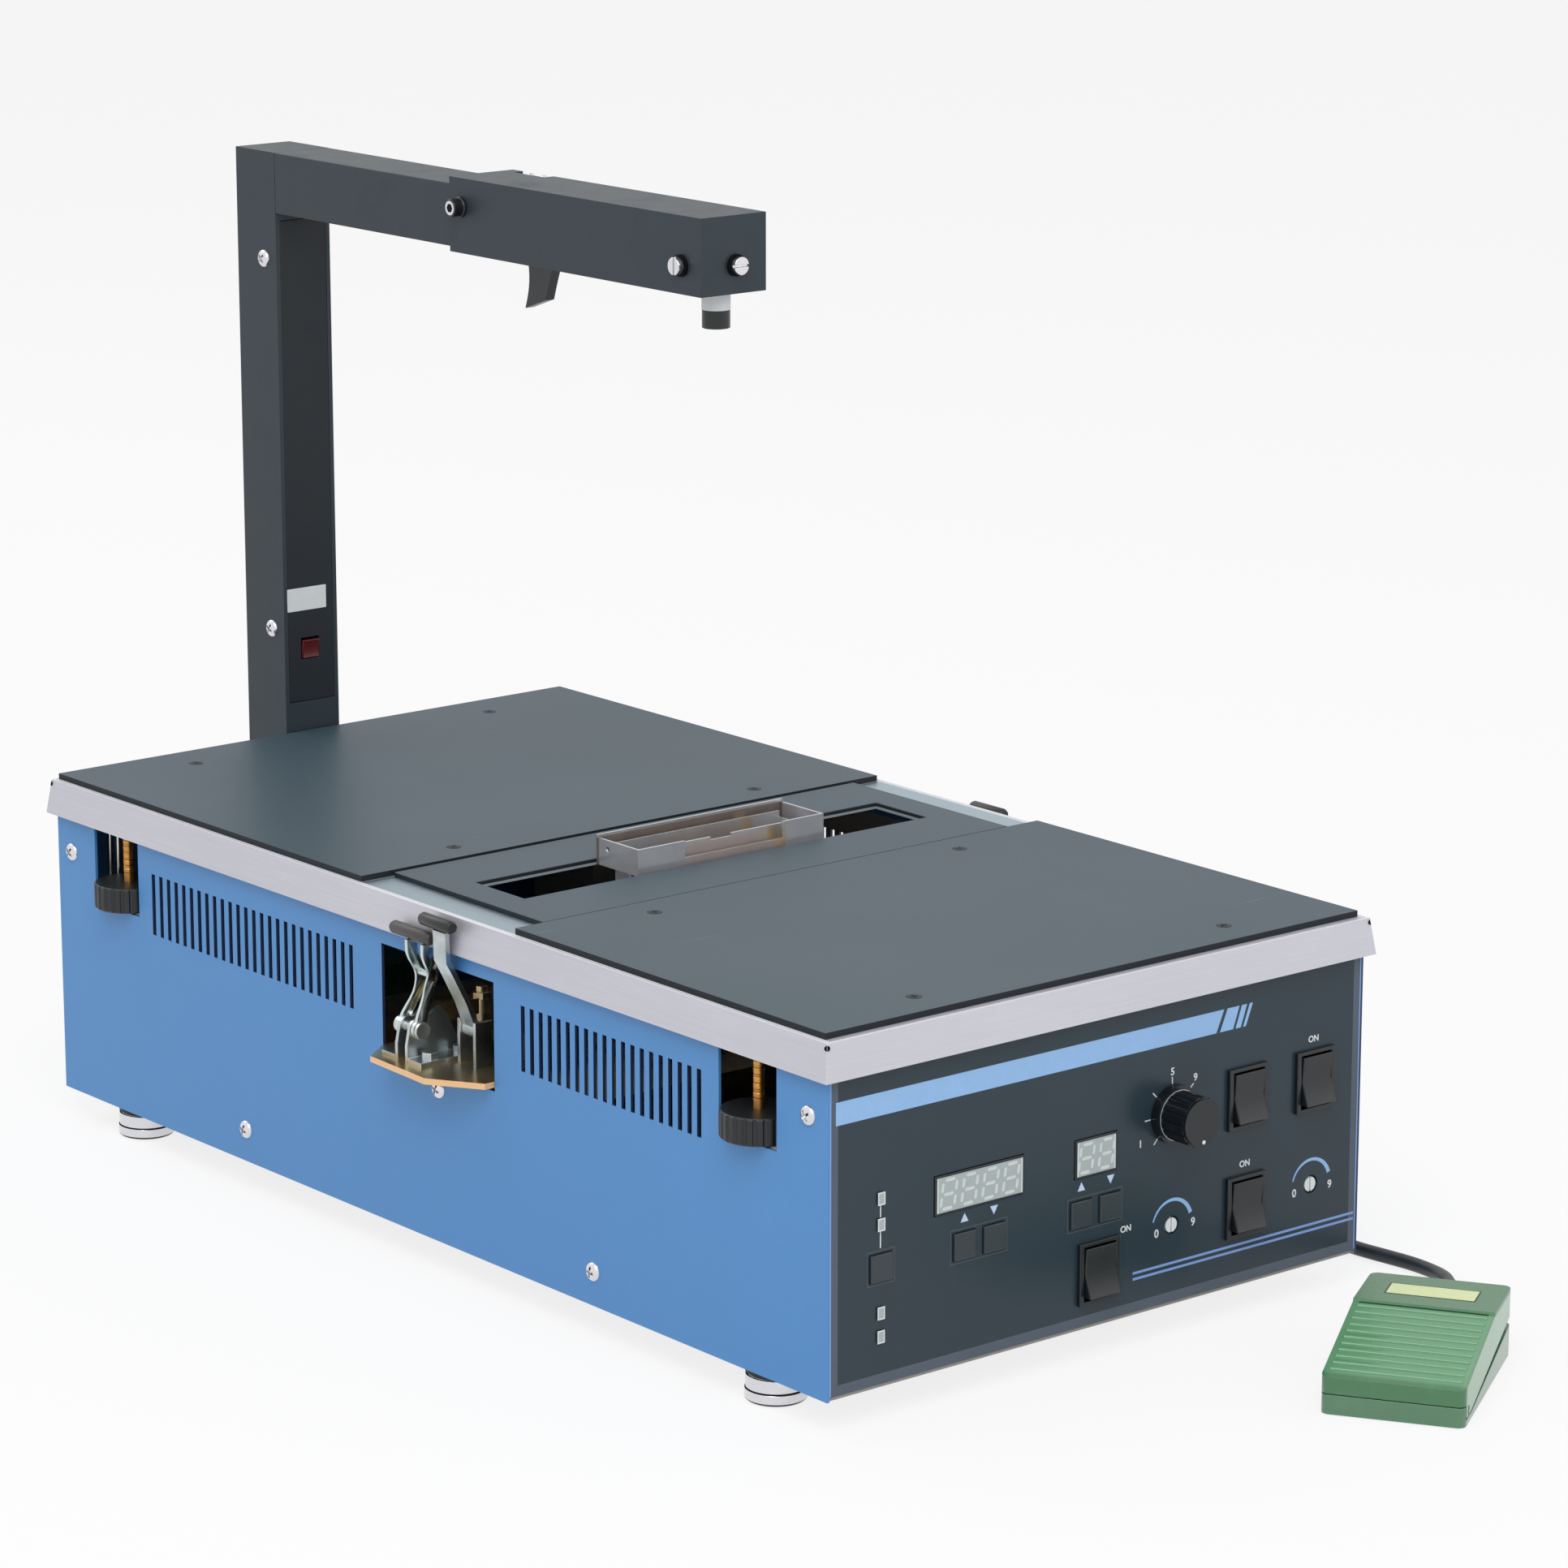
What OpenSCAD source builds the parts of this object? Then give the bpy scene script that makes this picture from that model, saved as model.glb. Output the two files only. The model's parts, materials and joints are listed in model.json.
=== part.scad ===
// Selective soldering machine: a bench housing with a levelled work table,
// a pumped solder nozzle, a telescopic pointer arm and a foot switch.
// Millimetres. +Z is up, the front panel faces -Y.

/* [Housing] */
// Width across the side sheets
body_w = 330; // [326:1:350]
// Depth from front panel to rear panel
body_d = 628.6; // [624:0.2:650]
// Thickness of the housing's sheet metal
sheet_t = 1.5; // [1.2:0.1:1.8]
// Height of the feet
foot_h = 15.5; // [13:0.5:20]
// Radius of a foot
foot_r = 14.5; // [12:0.5:17]
// Height of the side sheets' top edge above the bench
side_top_z = 168; // [166:0.5:169]
// How far the front and rear panels start above the side sheets' bottom edge
panel_lift = 2; // [1.8:0.1:4]
// Distance of the side screws from the front and rear faces
corner_screw_in = 13.3; // [12:0.1:16]
// Height of the upper corner screws
corner_screw_z = 145.7; // [125:0.1:150]
// Distance of the lower side screws from the middle
low_screw_y = 144; // [120:1:170]
// Height of the lower side screws
low_screw_z = 32.3; // [30:0.1:34]

/* [Vents] */
// Number of slots in the rear row
rear_slots = 26; // [18:1:26]
// Number of slots in the front row
front_slots = 20; // [14:1:20]
// Gap between a row of slots and the knob window beside it
slots_end_in = 12.6; // [11:0.1:16]
// Width of one slot
slot_w = 3; // [2:0.1:4]
// Length of one slot
slot_l = 32; // [24:1:34]
// Height of the slots' lower end
slot_z = 117; // [112:1:120]
// Where the rear row starts
rear_slots_y = 46.9; // [44:0.1:50]
// Where the front row ends
front_slots_y = -89.9; // [-94:0.1:-86]

/* [Table] */
// Height of the rim that the plates lie on
rim_z = 182.1; // [181:0.1:186]
// Height of the flared skirt
skirt_h = 17.8; // [15:0.1:18]
// How far the skirt's lower edge stands out from the housing
skirt_out = 4.2; // [3.8:0.1:5]
// How far the skirt's upper edge stands out from the housing
skirt_top_out = 1.8; // [1.6:0.1:2.4]
// Thickness of the skirt and rim
rim_t = 2; // [1.4:0.1:2.2]
// Thickness of the front and rear plates
plate_t = 3; // [2.6:0.1:5]
// Thickness of the middle plate
mid_plate_t = 2.4; // [2:0.1:2.6]
// Margin from the housing's side to the large plates' edge
plate_in = 1.4; // [1:0.1:4]
// Distance of the middle plate's ends from the side sheets
mid_plate_in = 19.2; // [15:0.1:25]
// Rear edge of the middle plate
seam_rear_y = 38; // [34:0.5:42]
// Front edge of the middle plate
seam_front_y = -82; // [-86:0.5:-78]
// Open joint between neighbouring plates
seam_w = 2.4; // [1:0.1:3]
// Distance of the nozzle slot's ends from the middle plate's ends
slot_end_in = 19.3; // [18:0.1:22]
// Front edge of the nozzle slot
slot_front_y = -42; // [-46:0.5:-40]
// Rear edge of the nozzle slot
slot_rear_y = -2.5; // [-2.5:0.5:2]
// Distance of the plate screws from the side sheets
plate_screw_in = 69.5; // [55:0.5:85]
// Radius of a plate screw's head
plate_screw_r = 3.6; // [3:0.1:4]

/* [Levelling] */
// Radius of a levelling knob
level_r = 18; // [17:0.5:19]
// Height of a levelling knob
level_h = 13; // [10:0.5:15]
// Height of the knobs' underside
level_z = 124.6; // [124.6:0.1:128]
// Distance of the knob axes from the housing's sides
level_in = 7; // [6.6:0.1:8]
// Distance of the levelling knobs from the front and rear faces
level_end_in = 56.3; // [54.3:0.1:58.3]
// Radius of a threaded stud
stud_r = 2.5; // [2:0.1:3]
// Radius of a guide rod
guide_r = 1.5; // [1.2:0.1:1.8]
// Width of a knob window
knob_win_w = 41; // [40:0.5:42]

/* [Front panel] */
// Height of both displays' centre
display_z = 98.7; // [97:0.1:101]
// Height of both displays
display_h = 18.6; // [16:0.1:20]
// Distance of the temperature display's middle from the left side
temp_in = 88.7; // [86:0.1:91]
// Width of the temperature display
temp_w = 53.3; // [50:0.1:56]
// Centre of the timer display
time_x = -5.5; // [-8:0.1:-3]
// Width of the timer display
time_w = 25.8; // [24:0.1:28]
// Width and height of a push button
button_w = 12.8; // [11:0.1:13.6]
// Height of the push buttons' centre
button_z = 72.4; // [71:0.1:73]
// Distance between the two buttons of a pair
button_pitch = 17.8; // [17.4:0.1:20]
// Travel of a push button
button_travel = 1; // [0.6:0.1:1.2]
// Distance of the mode button from the left side
mode_in = 30.8; // [29:0.1:33]
// Radius of an indicator lamp
lamp_r = 1.6; // [1.2:0.1:2]
// Width of a rocker switch's bezel
rocker_w = 25; // [23:0.5:26]
// Height of a rocker switch's bezel
rocker_h = 30; // [29:0.5:31]
// Tilt of a rocker at rest
rocker_tilt = 7; // [4:0.5:8]
// Radius of the flow knob's grip
flow_r = 12; // [10:0.5:13]
// How far the flow knob stands out
flow_h = 20; // [16:0.5:24]
// Radius of a trimmer shaft
trim_r = 3.6; // [3:0.1:4]

/* [Pot and pump] */
// Height of the carrier plate's top face
carrier_z = 106.5; // [106:0.1:107.5]
// Thickness of the carrier plate
carrier_t = 3; // [2.5:0.1:3.5]
// How far the tray's ears stand out of the side sheets
ear_out = 22; // [19:0.5:27]
// Wall of the solder pot
pot_wall = 3; // [2:0.1:4]
// Distance of the pot's left wall from the left side
pot_left_in = 77; // [77:0.5:81]
// Distance of the pot's right wall from the right side
pot_right_in = 37; // [35:0.5:45]
// Front of the solder pot
pot_y0 = -88; // [-92:0.5:-80]
// Rear of the solder pot
pot_y1 = 48; // [44:0.5:54]
// Underside of the solder pot
pot_z = 28; // [26:0.5:30]
// Radius of the pump motor
motor_r = 22; // [20:0.5:22]
// Height of the pump motor's top
motor_top_z = 122; // [118:0.5:128]
// Radius of the impeller
impeller_r = 15; // [12:0.5:16]
// Number of impeller vanes
vanes = 6; // [4:1:8]

/* [Nozzle] */
// Left end of the nozzle
nozzle_x0 = -54; // [-56:0.5:-52]
// Right end of the nozzle
nozzle_x1 = 63; // [62:0.5:66]
// Front of the nozzle
nozzle_y0 = -37; // [-38:0.5:-36]
// Rear of the nozzle
nozzle_y1 = -3.6; // [-5:0.1:-3.6]
// Height of the nozzle's top edge
nozzle_z = 197; // [195:0.5:202]
// Thickness of the nozzle's sheet
nozzle_t = 1.2; // [1:0.1:1.5]

/* [Clamps] */
// Middle of the clamps along the housing
clamp_y = -11; // [-13:0.5:-10]
// How far the clamp handles' pins stand out of the side sheets
handle_out = 6.5; // [6.5:0.1:7.5]
// Height of the handle pivot above the carrier plate
handle_up = 15.5; // [15:0.1:17]
// Thickness of the clamps' plates
clamp_t = 2; // [1.6:0.1:2.2]
// Width of a handle plate
handle_w = 6; // [5:0.1:6.2]
// How far the handle curves in below its middle
handle_dip = 8; // [6:0.1:9]
// How far the handle curves out again above it
handle_rise = 9.6; // [9.4:0.1:10.4]
// Radius of a vinyl grip
grip_r = 3.2; // [2.8:0.1:4]
// Length of a handle's grip
grip_l = 32; // [26:0.5:34]
// Middle of the release levers along the housing
catch_y = -38; // [-39:0.5:-37.5]
// Length of a release lever's grip
catch_grip_l = 25; // [20:0.5:27]

/* [Column and arm] */
// Width of the column
column_w = 34.4; // [33:0.2:35.4]
// Depth of the column
column_d = 35.9; // [34:0.1:38]
// Wall of the column and the arm
tube_t = 1.6; // [1.2:0.1:1.8]
// Height of the arm's top
arm_top_z = 497; // [480:1:520]
// Height of the inner arm
arm_h = 32; // [30:0.5:34]
// Width of the sleeve
sleeve_w = 40; // [39.4:0.2:42]
// Height of the sleeve
sleeve_h = 38; // [38:0.5:41]
// Front end of the sleeve
sleeve_y0 = -44.8; // [-50:0.1:-40]
// Rear end of the sleeve
sleeve_y1 = 158.5; // [156:0.5:164]
// Front end of the inner arm
arm_tip_y = 62; // [58:0.5:64]
// Trigger pivot along the sleeve
trigger_y = 105; // [103:0.5:107]
// How far the trigger hangs below the sleeve
trigger_drop = 26; // [22:0.5:30]
// Radius of the laser pointer
laser_r = 6.9; // [6:0.1:8]
// How far the laser pointer hangs below the sleeve
laser_drop = 18; // [16:0.5:24]

/* [Foot switch] */
// Length of the foot switch
pedal_l = 106.5; // [104:0.5:110]
// Width of the foot switch
pedal_w = 66; // [60:0.5:70]
// Height of its front edge
pedal_front_h = 17.7; // [17:0.1:19]
// Height of its rear end
pedal_rear_h = 32.6; // [31:0.1:36]
// Direction of its length, counted from +X
pedal_turn = 32.6; // [30:0.1:36]
// Front left corner, across the housing
pedal_x = 24.8; // [20:0.1:30]
// Front left corner, along the housing
pedal_y = -431.6; // [-436:0.1:-428]
// Number of tread ribs
tread_ribs = 11; // [6:1:11]

/* [Cord] */
// Diameter of the foot switch's cord
cord_d = 7; // [5:0.1:7]
// Mean radius of the coil
coil_r = 38.5; // [36:0.5:40]

/* [Hidden] */
$fn = 48;
// Gap between pieces that lie on each other but move
seat_gap = 0.3;
// Radial clearance of a shaft in its hole
run_gap = 0.1;
// Travel of the table, up and down
table_travel = 3;
half_w = body_w / 2;
half_d = body_d / 2;
inner_x = half_w - sheet_t;
inner_y = half_d - sheet_t;
pan_top_z = foot_h + sheet_t;
pan_flange_z = low_screw_z + 7;
end_flange_h = 8;
panel_z0 = foot_h + panel_lift;
return_l = corner_screw_in + 6.7;
screw_r = 2;
head_r = 4;
carrier_screw_y = -23;
carrier_screw_z = carrier_z - 13.9;
side_screw_spots = [
    [half_d - corner_screw_in, corner_screw_z], [corner_screw_in - half_d, corner_screw_z],
    [low_screw_y, low_screw_z], [-low_screw_y, low_screw_z],
    [carrier_screw_y, carrier_screw_z]
];
side_win_y0 = -68.5;
side_win_y1 = 22.5;
side_win_z0 = carrier_z - carrier_t - 1.5;
side_win_z1 = 155.5;

// Levelling
level_x = half_w - level_in;
level_y = half_d - level_end_in;
shelf_z = level_z - seat_gap;
shelf_t = 3;
shelf_x0 = level_x - 30;
win_y0 = level_y - knob_win_w / 2 + 0.5;
rear_pitch = (win_y0 - slots_end_in - slot_w - rear_slots_y) / (rear_slots - 1);
front_pitch = (win_y0 - slots_end_in + front_slots_y - slot_w) / (front_slots - 1);
guide_x = level_x - 8;
guide_gap = 22;
guide_pitch = 8;
guide_ys = [level_y + guide_gap, level_y + guide_gap + guide_pitch];
stud_l = rim_z - rim_t - level_z + 16;
bracket_y1 = inner_y - return_l - 0.8;

// Table
plate_x = half_w - plate_in;
mid_half_w = half_w - mid_plate_in;
slot_half = mid_half_w - slot_end_in;
plate_screw_x = half_w - plate_screw_in;
rear_plate_y = [seam_rear_y + seam_w, half_d];
front_plate_y = [-half_d + 3.3, seam_front_y - seam_w];
web_x = slot_half + 3;
bar_rear_y = [seam_rear_y - 10, seam_rear_y + 30];
bar_front_y = [seam_front_y - 31, seam_front_y + 10];
web_end_in = 38;
plate_screw_ys = [half_d - 26.3, seam_rear_y + 20, seam_front_y - 21, 23.3 - half_d];

// Front panel
face_y = -half_d;
back_y = -inner_y;
board_y = back_y + 9.8;
tact_y = board_y - 3.8;
temp_x = temp_in - half_w;
mode_x = mode_in - half_w;
temp_button_xs = [temp_x - button_pitch / 2, temp_x + button_pitch / 2];
time_button_xs = [time_x - button_pitch / 2, time_x + button_pitch / 2];
button_xs = concat(temp_button_xs, time_button_xs, [mode_x]);
lamp_x = mode_x - 0.2;
lamp_zs = [104.5, 92.4, 51.1, 40];
// Centres of the pump, mode, main and standby rockers
rocker_mid_x = half_w - 75.5;
rocker_end_x = half_w - 31.5;
rocker_z = 108.5;
rockers = [[-3.5, 43], [rocker_mid_x, rocker_z], [rocker_end_x, rocker_z], [rocker_mid_x, 55.5]];
flow_x = 42.6;
flow_z = 109.4;
shaft_r = 3;
trimmers = [[43.1, 55], [half_w - 31.8, 56.5]];
bezel_t = 2.2;
rocker_in = 2.9;
pivot_y = face_y + 1;

// Pump
pot_x0 = pot_left_in - half_w;
pot_x1 = half_w - pot_right_in;
ear_x = half_w + ear_out;
pot_flange_w = 6;
motor_flange_w = 3;
motor_x = pot_x0 - pot_flange_w - 0.5 - motor_flange_w - motor_r;
motor_y = -45;
pot_top_z = carrier_z + pot_wall;
well_z1 = 60;
floor_z = pot_z + pot_wall;
duct_t = 2;
riser_x = [nozzle_x0 + 4, nozzle_x1 - 4];
riser_y = [nozzle_y0 + 3, nozzle_y1 - 3];
riser_z = rim_z - rim_t - table_travel - 10;
casing_h = 16;
casing_r = impeller_r + 4;
motor_z0 = 72;
leg_x = half_w - 15;
carrier_y = [pot_y0 - 37, pot_y1 + 37];

// Clamps
handle_x = half_w + handle_out;
pivot_z = carrier_z + handle_up;
arm_pivot_x = handle_x - 12.5;
arm_pivot_z = pivot_z + 4.5;
base_x = [handle_x - 26.5, handle_x + 6.5];
base_y = 3;
pin_r = 2.5;
spindle_x = handle_x - 41.5;
dip_z = pivot_z + 21;
grip_z = pivot_z + 48;
handle_top_z = grip_z - grip_r;
grip_x = handle_x - handle_dip + handle_rise;
catch_x = handle_x - 17.5;
catch_z = carrier_z + 17.5;
strap_w = 10;

// Column and arm
column_y0 = half_d + skirt_out + seat_gap;
column_y1 = column_y0 + column_d;
arm_w = column_w;
arm_z0 = arm_top_z - arm_h;
sleeve_z0 = arm_z0 - seat_gap - tube_t;
sleeve_z1 = sleeve_z0 + sleeve_h;
collar_l = 15.5;
column_screw_zs = [240, arm_z0 - 25];
cover_z = [200, arm_z0 - 4];
pilot_x = -0.7;
pilot_z = 229;
pilot_w = 11;
pilot_pivot = 5;
pilot_tilt = 3;
lug_t = 2;
trigger_half = 2.6;
trigger_z = sleeve_z0 + 6;
laser_x = 1;
laser_y = sleeve_y0 + 14.8;
adjust_z = sleeve_z0 + 14;
laser_top_z = adjust_z + 10;
lock_y = sleeve_y1 - 9.8;
lock_z = arm_top_z - 10.5;

// Foot switch
pedal_corner_r = 4;
pedal_t = 2.5;
pedal_pin = [8, 6.5];
tread_flat = 28;
tread_step = 1.2;
pedal_gap_front = 1.2;
pedal_gap_rear = 4.2;
pedal_split_h = 15.3;
pedal_front_y = pedal_y + pedal_corner_r * sin(pedal_turn)
    - (pedal_w - pedal_corner_r) * cos(pedal_turn) - pedal_corner_r;
pedal_spring_in = 12.5;
pedal_spring_x = pedal_l - pedal_spring_in;
switch_w = 24;
switch_x0 = pedal_l - 46.5;
rib_x0 = 8;
rib_r = 1.2;
rib_end_in = 3;
rib_pitch = (pedal_l - tread_flat - rib_x0 - 4.5) / (tread_ribs - 1);
gland_z = 7.5;

// Mains inlet on the rear panel
inlet_x = [-130, -82];
inlet_z = [40, 68];

// The origin lies under the middle of the whole object
object_mid_y = (column_y1 + pedal_front_y) / 2;

// Cord
gland_x = 108.5;
gland_h = 45;
gland_l = 12;
coil_x = 70;
coil_y = 392;
cord_sides = 8;
// Route from the rear gland down to the coil
cord_to_coil = [
    [108.5, 326.2, 45], [108.5, 334, 45], [108.5, 344, 41], [108.5, 354, 34],
    [108.5, 364, 26], [108.5, 374, 18.5], [108.5, 384, 13], [108.5, 392, 11]
];
// Route from the coil round the right side to the foot switch
cord_to_pedal = [
    [70, 353.5, 3.6], [88, 353.5, 3.6], [106, 353.5, 3.6], [124, 353, 3.6],
    [142, 351, 3.6], [160, 346, 3.6], [176, 337, 3.6], [188, 324, 3.6],
    [195, 308, 3.6], [199, 290, 3.6], [200, 250, 3.6], [201, 200, 3.6],
    [201, 150, 3.6], [200, 100, 3.6], [200, 50, 3.6], [200, 0, 3.6],
    [200, -50, 3.6], [201, -100, 3.6], [201, -150, 3.6], [200, -200, 3.6],
    [197.2, -240, 3.6], [195.8, -265, 3.6], [196.2, -286, 3.6], [198.4, -304, 3.6],
    [199.9, -318, 3.6], [199.2, -330, 3.8], [195, -343, 4.8], [188, -354, 5.8],
    [179, -364, 6.6], [168, -375, 7.2], [157, -384.5, 7.5], [147.5, -391.8, 7.5],
    [138.9, -397.8, 7.5]
];

blue = "#5a8cc8";
silver = "#c8c8cd";
slate = "#5f6c73";
arm_grey = "#464e54";
column_grey = "#2d3235";
panel_grey = "#3c464e";
near_black = "#202326";
steel = "#9a9da0";
zinc = "#c9b57a";
rust = "#6a4a3c";
brass = "#b88c4a";
pedal_green = "#5a966a";

// Moves the whole object so that its middle stands over the origin
module placed() {
    translate([0, -object_mid_y, 0]) children();
}

// A block between two ends in x, y and z
module block(x, y, z) {
    translate([x[0], y[0], z[0]]) cube([x[1] - x[0], y[1] - y[0], z[1] - z[0]]);
}

module rod_x(r, x, y, z) {
    translate([x[0], y, z]) rotate([0, 90, 0]) cylinder(r = r, h = x[1] - x[0]);
}

module rod_y(r, x, y, z) {
    translate([x, y[0], z]) rotate([-90, 0, 0]) cylinder(r = r, h = y[1] - y[0]);
}

module rod_z(r, x, y, z) {
    translate([x, y, z[0]]) cylinder(r = r, h = z[1] - z[0]);
}

// Extrudes an outline drawn in x and z along y
module along_y(y) {
    translate([0, y[1], 0]) rotate([90, 0, 0]) linear_extrude(y[1] - y[0]) children();
}

// Extrudes an outline drawn in y and z along x
module along_x(x) {
    translate([x[0], 0, 0]) rotate([90, 0, 90]) linear_extrude(x[1] - x[0]) children();
}

module both_sides() {
    children();
    mirror([1, 0, 0]) children();
}

module both_ends() {
    children();
    mirror([0, 1, 0]) children();
}

// Pan-head screw standing on z = 0 with its shank below
module pan_screw(l) {
    translate([0, 0, -l]) cylinder(r = screw_r, h = l);
    cylinder(r = head_r, h = head_r * 0.3);
    translate([0, 0, head_r * 0.3]) cylinder(r1 = head_r, r2 = head_r * 0.6, h = head_r * 0.3);
}

// Shanks' clearance through the side sheets and what they screw into
module side_screw_holes() {
    both_sides()
    for (spot = side_screw_spots) {
        rod_x(screw_r + run_gap, [half_w - 8, half_w + 1], spot[0], spot[1]);
    }
}

// Corner bracket that carries a levelling knob and guides the table's rods
module level_bracket() {
    shelf_x1 = inner_x - seat_gap;
    difference() {
        union() {
            block([shelf_x0, shelf_x1], [win_y0, bracket_y1], [shelf_z - shelf_t, shelf_z]);
            block([shelf_x0, shelf_x0 + shelf_t], [win_y0, bracket_y1], [pan_top_z, shelf_z]);
            block([shelf_x0, shelf_x1], [win_y0, win_y0 + shelf_t], [pan_top_z, shelf_z]);
        }
        rod_z(stud_r + 0.5, level_x, level_y, [shelf_z - shelf_t - 1, shelf_z + 1]);
        for (y = guide_ys) {
            rod_z(guide_r + run_gap, guide_x, y, [shelf_z - shelf_t - 1, shelf_z + 1]);
        }
    }
}

module base_pan() {
    flange_y = inner_y - return_l - 0.8;
    flange_x = inner_x - sheet_t - 0.5;
    color(steel)
    placed()
    difference() {
        union() {
            block([-inner_x, inner_x], [-inner_y, inner_y], [foot_h, pan_top_z]);
            both_sides()
            block([inner_x - sheet_t, inner_x], [-flange_y, flange_y], [foot_h, pan_flange_z]);
            both_ends()
            block([-flange_x, flange_x], [inner_y - sheet_t, inner_y], [foot_h, pan_top_z + end_flange_h]);
            both_sides() both_ends() level_bracket();
        }
        side_screw_holes();
    }
}

// Side sheet in its place on the right, with windows, vents and an in-turned top edge
module side_sheet() {
    flange_y = win_y0 - 3;
    difference() {
        union() {
            block([inner_x, half_w], [-half_d, half_d], [foot_h, side_top_z]);
            block([inner_x - 10, half_w], [-flange_y, flange_y], [side_top_z - sheet_t, side_top_z]);
        }
        both_ends()
        block([inner_x - 1, half_w + 1], [win_y0, win_y0 + knob_win_w], [level_z - 1.1, side_top_z + 1]);
        block([inner_x - 1, half_w + 1], [side_win_y0, side_win_y1], [side_win_z0, side_win_z1]);
        for (i = [0:rear_slots - 1]) {
            vent_slot(rear_slots_y + i * rear_pitch);
        }
        for (i = [0:front_slots - 1]) {
            vent_slot(front_slots_y - slot_w - i * front_pitch);
        }
        side_screw_holes();
    }
}

module vent_slot(y) {
    block([inner_x - 1, half_w + 1], [y, y + slot_w], [slot_z, slot_z + slot_l]);
}

module side_right() {
    color(blue) placed() side_sheet();
}

module side_left() {
    color(blue) placed() mirror([1, 0, 0]) side_sheet();
}

// Upright panel with side returns, in its place at the rear
module end_panel() {
    block([-inner_x, inner_x], [inner_y, half_d], [panel_z0, side_top_z]);
    both_sides()
    block([inner_x - sheet_t, inner_x], [inner_y - return_l, half_d], [panel_z0, side_top_z]);
}

module rear_panel() {
    color(blue)
    placed()
    difference() {
        end_panel();
        side_screw_holes();
        block([inlet_x[0] + 2, inlet_x[1] - 2], [inner_y - 1, half_d + 1], [inlet_z[0] + 2, inlet_z[1] - 2]);
        rod_y(6.2, gland_x, [inner_y - 1, half_d + 1], gland_h);
    }
}

module front_panel() {
    cut = [face_y - 1, back_y + 1];
    color(panel_grey)
    placed()
    difference() {
        mirror([0, 1, 0]) end_panel();
        side_screw_holes();
        window_cut(temp_x, display_z, temp_w, display_h, cut);
        window_cut(time_x, display_z, time_w, display_h, cut);
        for (x = button_xs) {
            window_cut(x, button_z, button_w, button_w, cut);
        }
        for (spot = rockers) {
            window_cut(spot[0], spot[1], rocker_w - rocker_in, rocker_h - rocker_in + 1.3, cut);
        }
        for (z = lamp_zs) {
            rod_y(lamp_r + run_gap, lamp_x, cut, z);
        }
        rod_y(shaft_r + 2, flow_x, cut, flow_z);
        for (spot = trimmers) {
            rod_y(trim_r + 1, spot[0], cut, spot[1]);
        }
    }
}

// Rectangular hole a seat gap larger than what stands in it
module window_cut(x, z, w, h, y) {
    block([x - w / 2 - seat_gap, x + w / 2 + seat_gap], y, [z - h / 2 - seat_gap, z + h / 2 + seat_gap]);
}

module centred(x, z, w, h, y) {
    block([x - w / 2, x + w / 2], y, [z - h / 2, z + h / 2]);
}

// Rocker switch housing: bezel, body and the pocket the rocker tilts in
module rocker_housing(x, z) {
    difference() {
        union() {
            centred(x, z, rocker_w, rocker_h, [face_y - bezel_t, face_y]);
            centred(x, z, rocker_w - rocker_in, rocker_h - rocker_in + 1.3, [face_y - 1, back_y + 18]);
        }
        centred(x, z, rocker_w - 5.4, rocker_h - 3.8, [face_y - bezel_t - 1, back_y + 16]);
    }
    for (s = [-1, 1]) {
        centred(x + s * (rocker_w - 5.4 - 1.8) / 2, z, 1.8, 5, [pivot_y + 2.4, back_y + 16.2]);
    }
}

module panel_fittings() {
    color(near_black)
    placed() {
        for (spot = rockers) {
            rocker_housing(spot[0], spot[1]);
        }
        centred(temp_x, display_z, temp_w, display_h, [face_y - 0.6, back_y + 4]);
        centred(time_x, display_z, time_w, display_h, [face_y - 0.6, back_y + 4]);
        for (z = lamp_zs) {
            rod_y(lamp_r, lamp_x, [face_y - 0.8, board_y], z);
        }
        shaft_socket(flow_x, flow_z, 11, shaft_r);
        for (spot = trimmers) {
            shaft_socket(spot[0], spot[1], 7, trim_r);
        }
    }
}

// Body of a rotary control behind the panel, bored for its shaft
module shaft_socket(x, z, r, shaft) {
    difference() {
        rod_y(r, x, [back_y, back_y + 12], z);
        rod_y(shaft + run_gap, x, [back_y - 1, back_y + 10], z);
    }
}

module side_screws() {
    color(silver)
    placed() {
        both_sides()
        for (spot = side_screw_spots) {
            translate([half_w, spot[0], spot[1]]) rotate([0, 90, 0]) pan_screw(sheet_t + 4);
        }
        both_sides()
        for (z = column_screw_zs) {
            translate([column_w / 2, column_y0 + 11.5, z]) rotate([0, 90, 0]) pan_screw(tube_t);
        }
    }
}

// Foot with a rubber pad, a waist ring and a top ring
module foot() {
    ring_h = foot_h * 0.4;
    rotate_extrude()
    polygon([
        [0, 0], [foot_r - 1, 0], [foot_r, 1], [foot_r, foot_h * 0.35],
        [foot_r - 1.5, foot_h * 0.35], [foot_r - 1.5, foot_h * 0.38], [foot_r - 0.5, foot_h * 0.38],
        [foot_r - 0.5, foot_h * 0.38 + ring_h], [foot_r - 1.5, foot_h * 0.38 + ring_h],
        [foot_r - 1.5, foot_h * 0.84], [foot_r - 0.5, foot_h * 0.84], [foot_r - 0.5, foot_h], [0, foot_h]
    ]);
}

module feet() {
    color(near_black)
    placed() both_sides() both_ends()
    translate([half_w - foot_r - 0.5, half_d - 54, 0]) foot();
}

// Threaded studs under the rim with their lock nuts, and the plain guide rods beside them
module studs() {
    top_z = rim_z - rim_t;
    color(brass)
    placed() both_sides() both_ends() {
        rod_z(stud_r, level_x, level_y, [top_z - stud_l, top_z]);
        translate([level_x, level_y, top_z - 4]) cylinder(r = stud_r + 2, h = 4, $fn = 6);
        for (y = guide_ys) {
            rod_z(guide_r, guide_x, y, [top_z - stud_l, top_z]);
        }
    }
}

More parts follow.
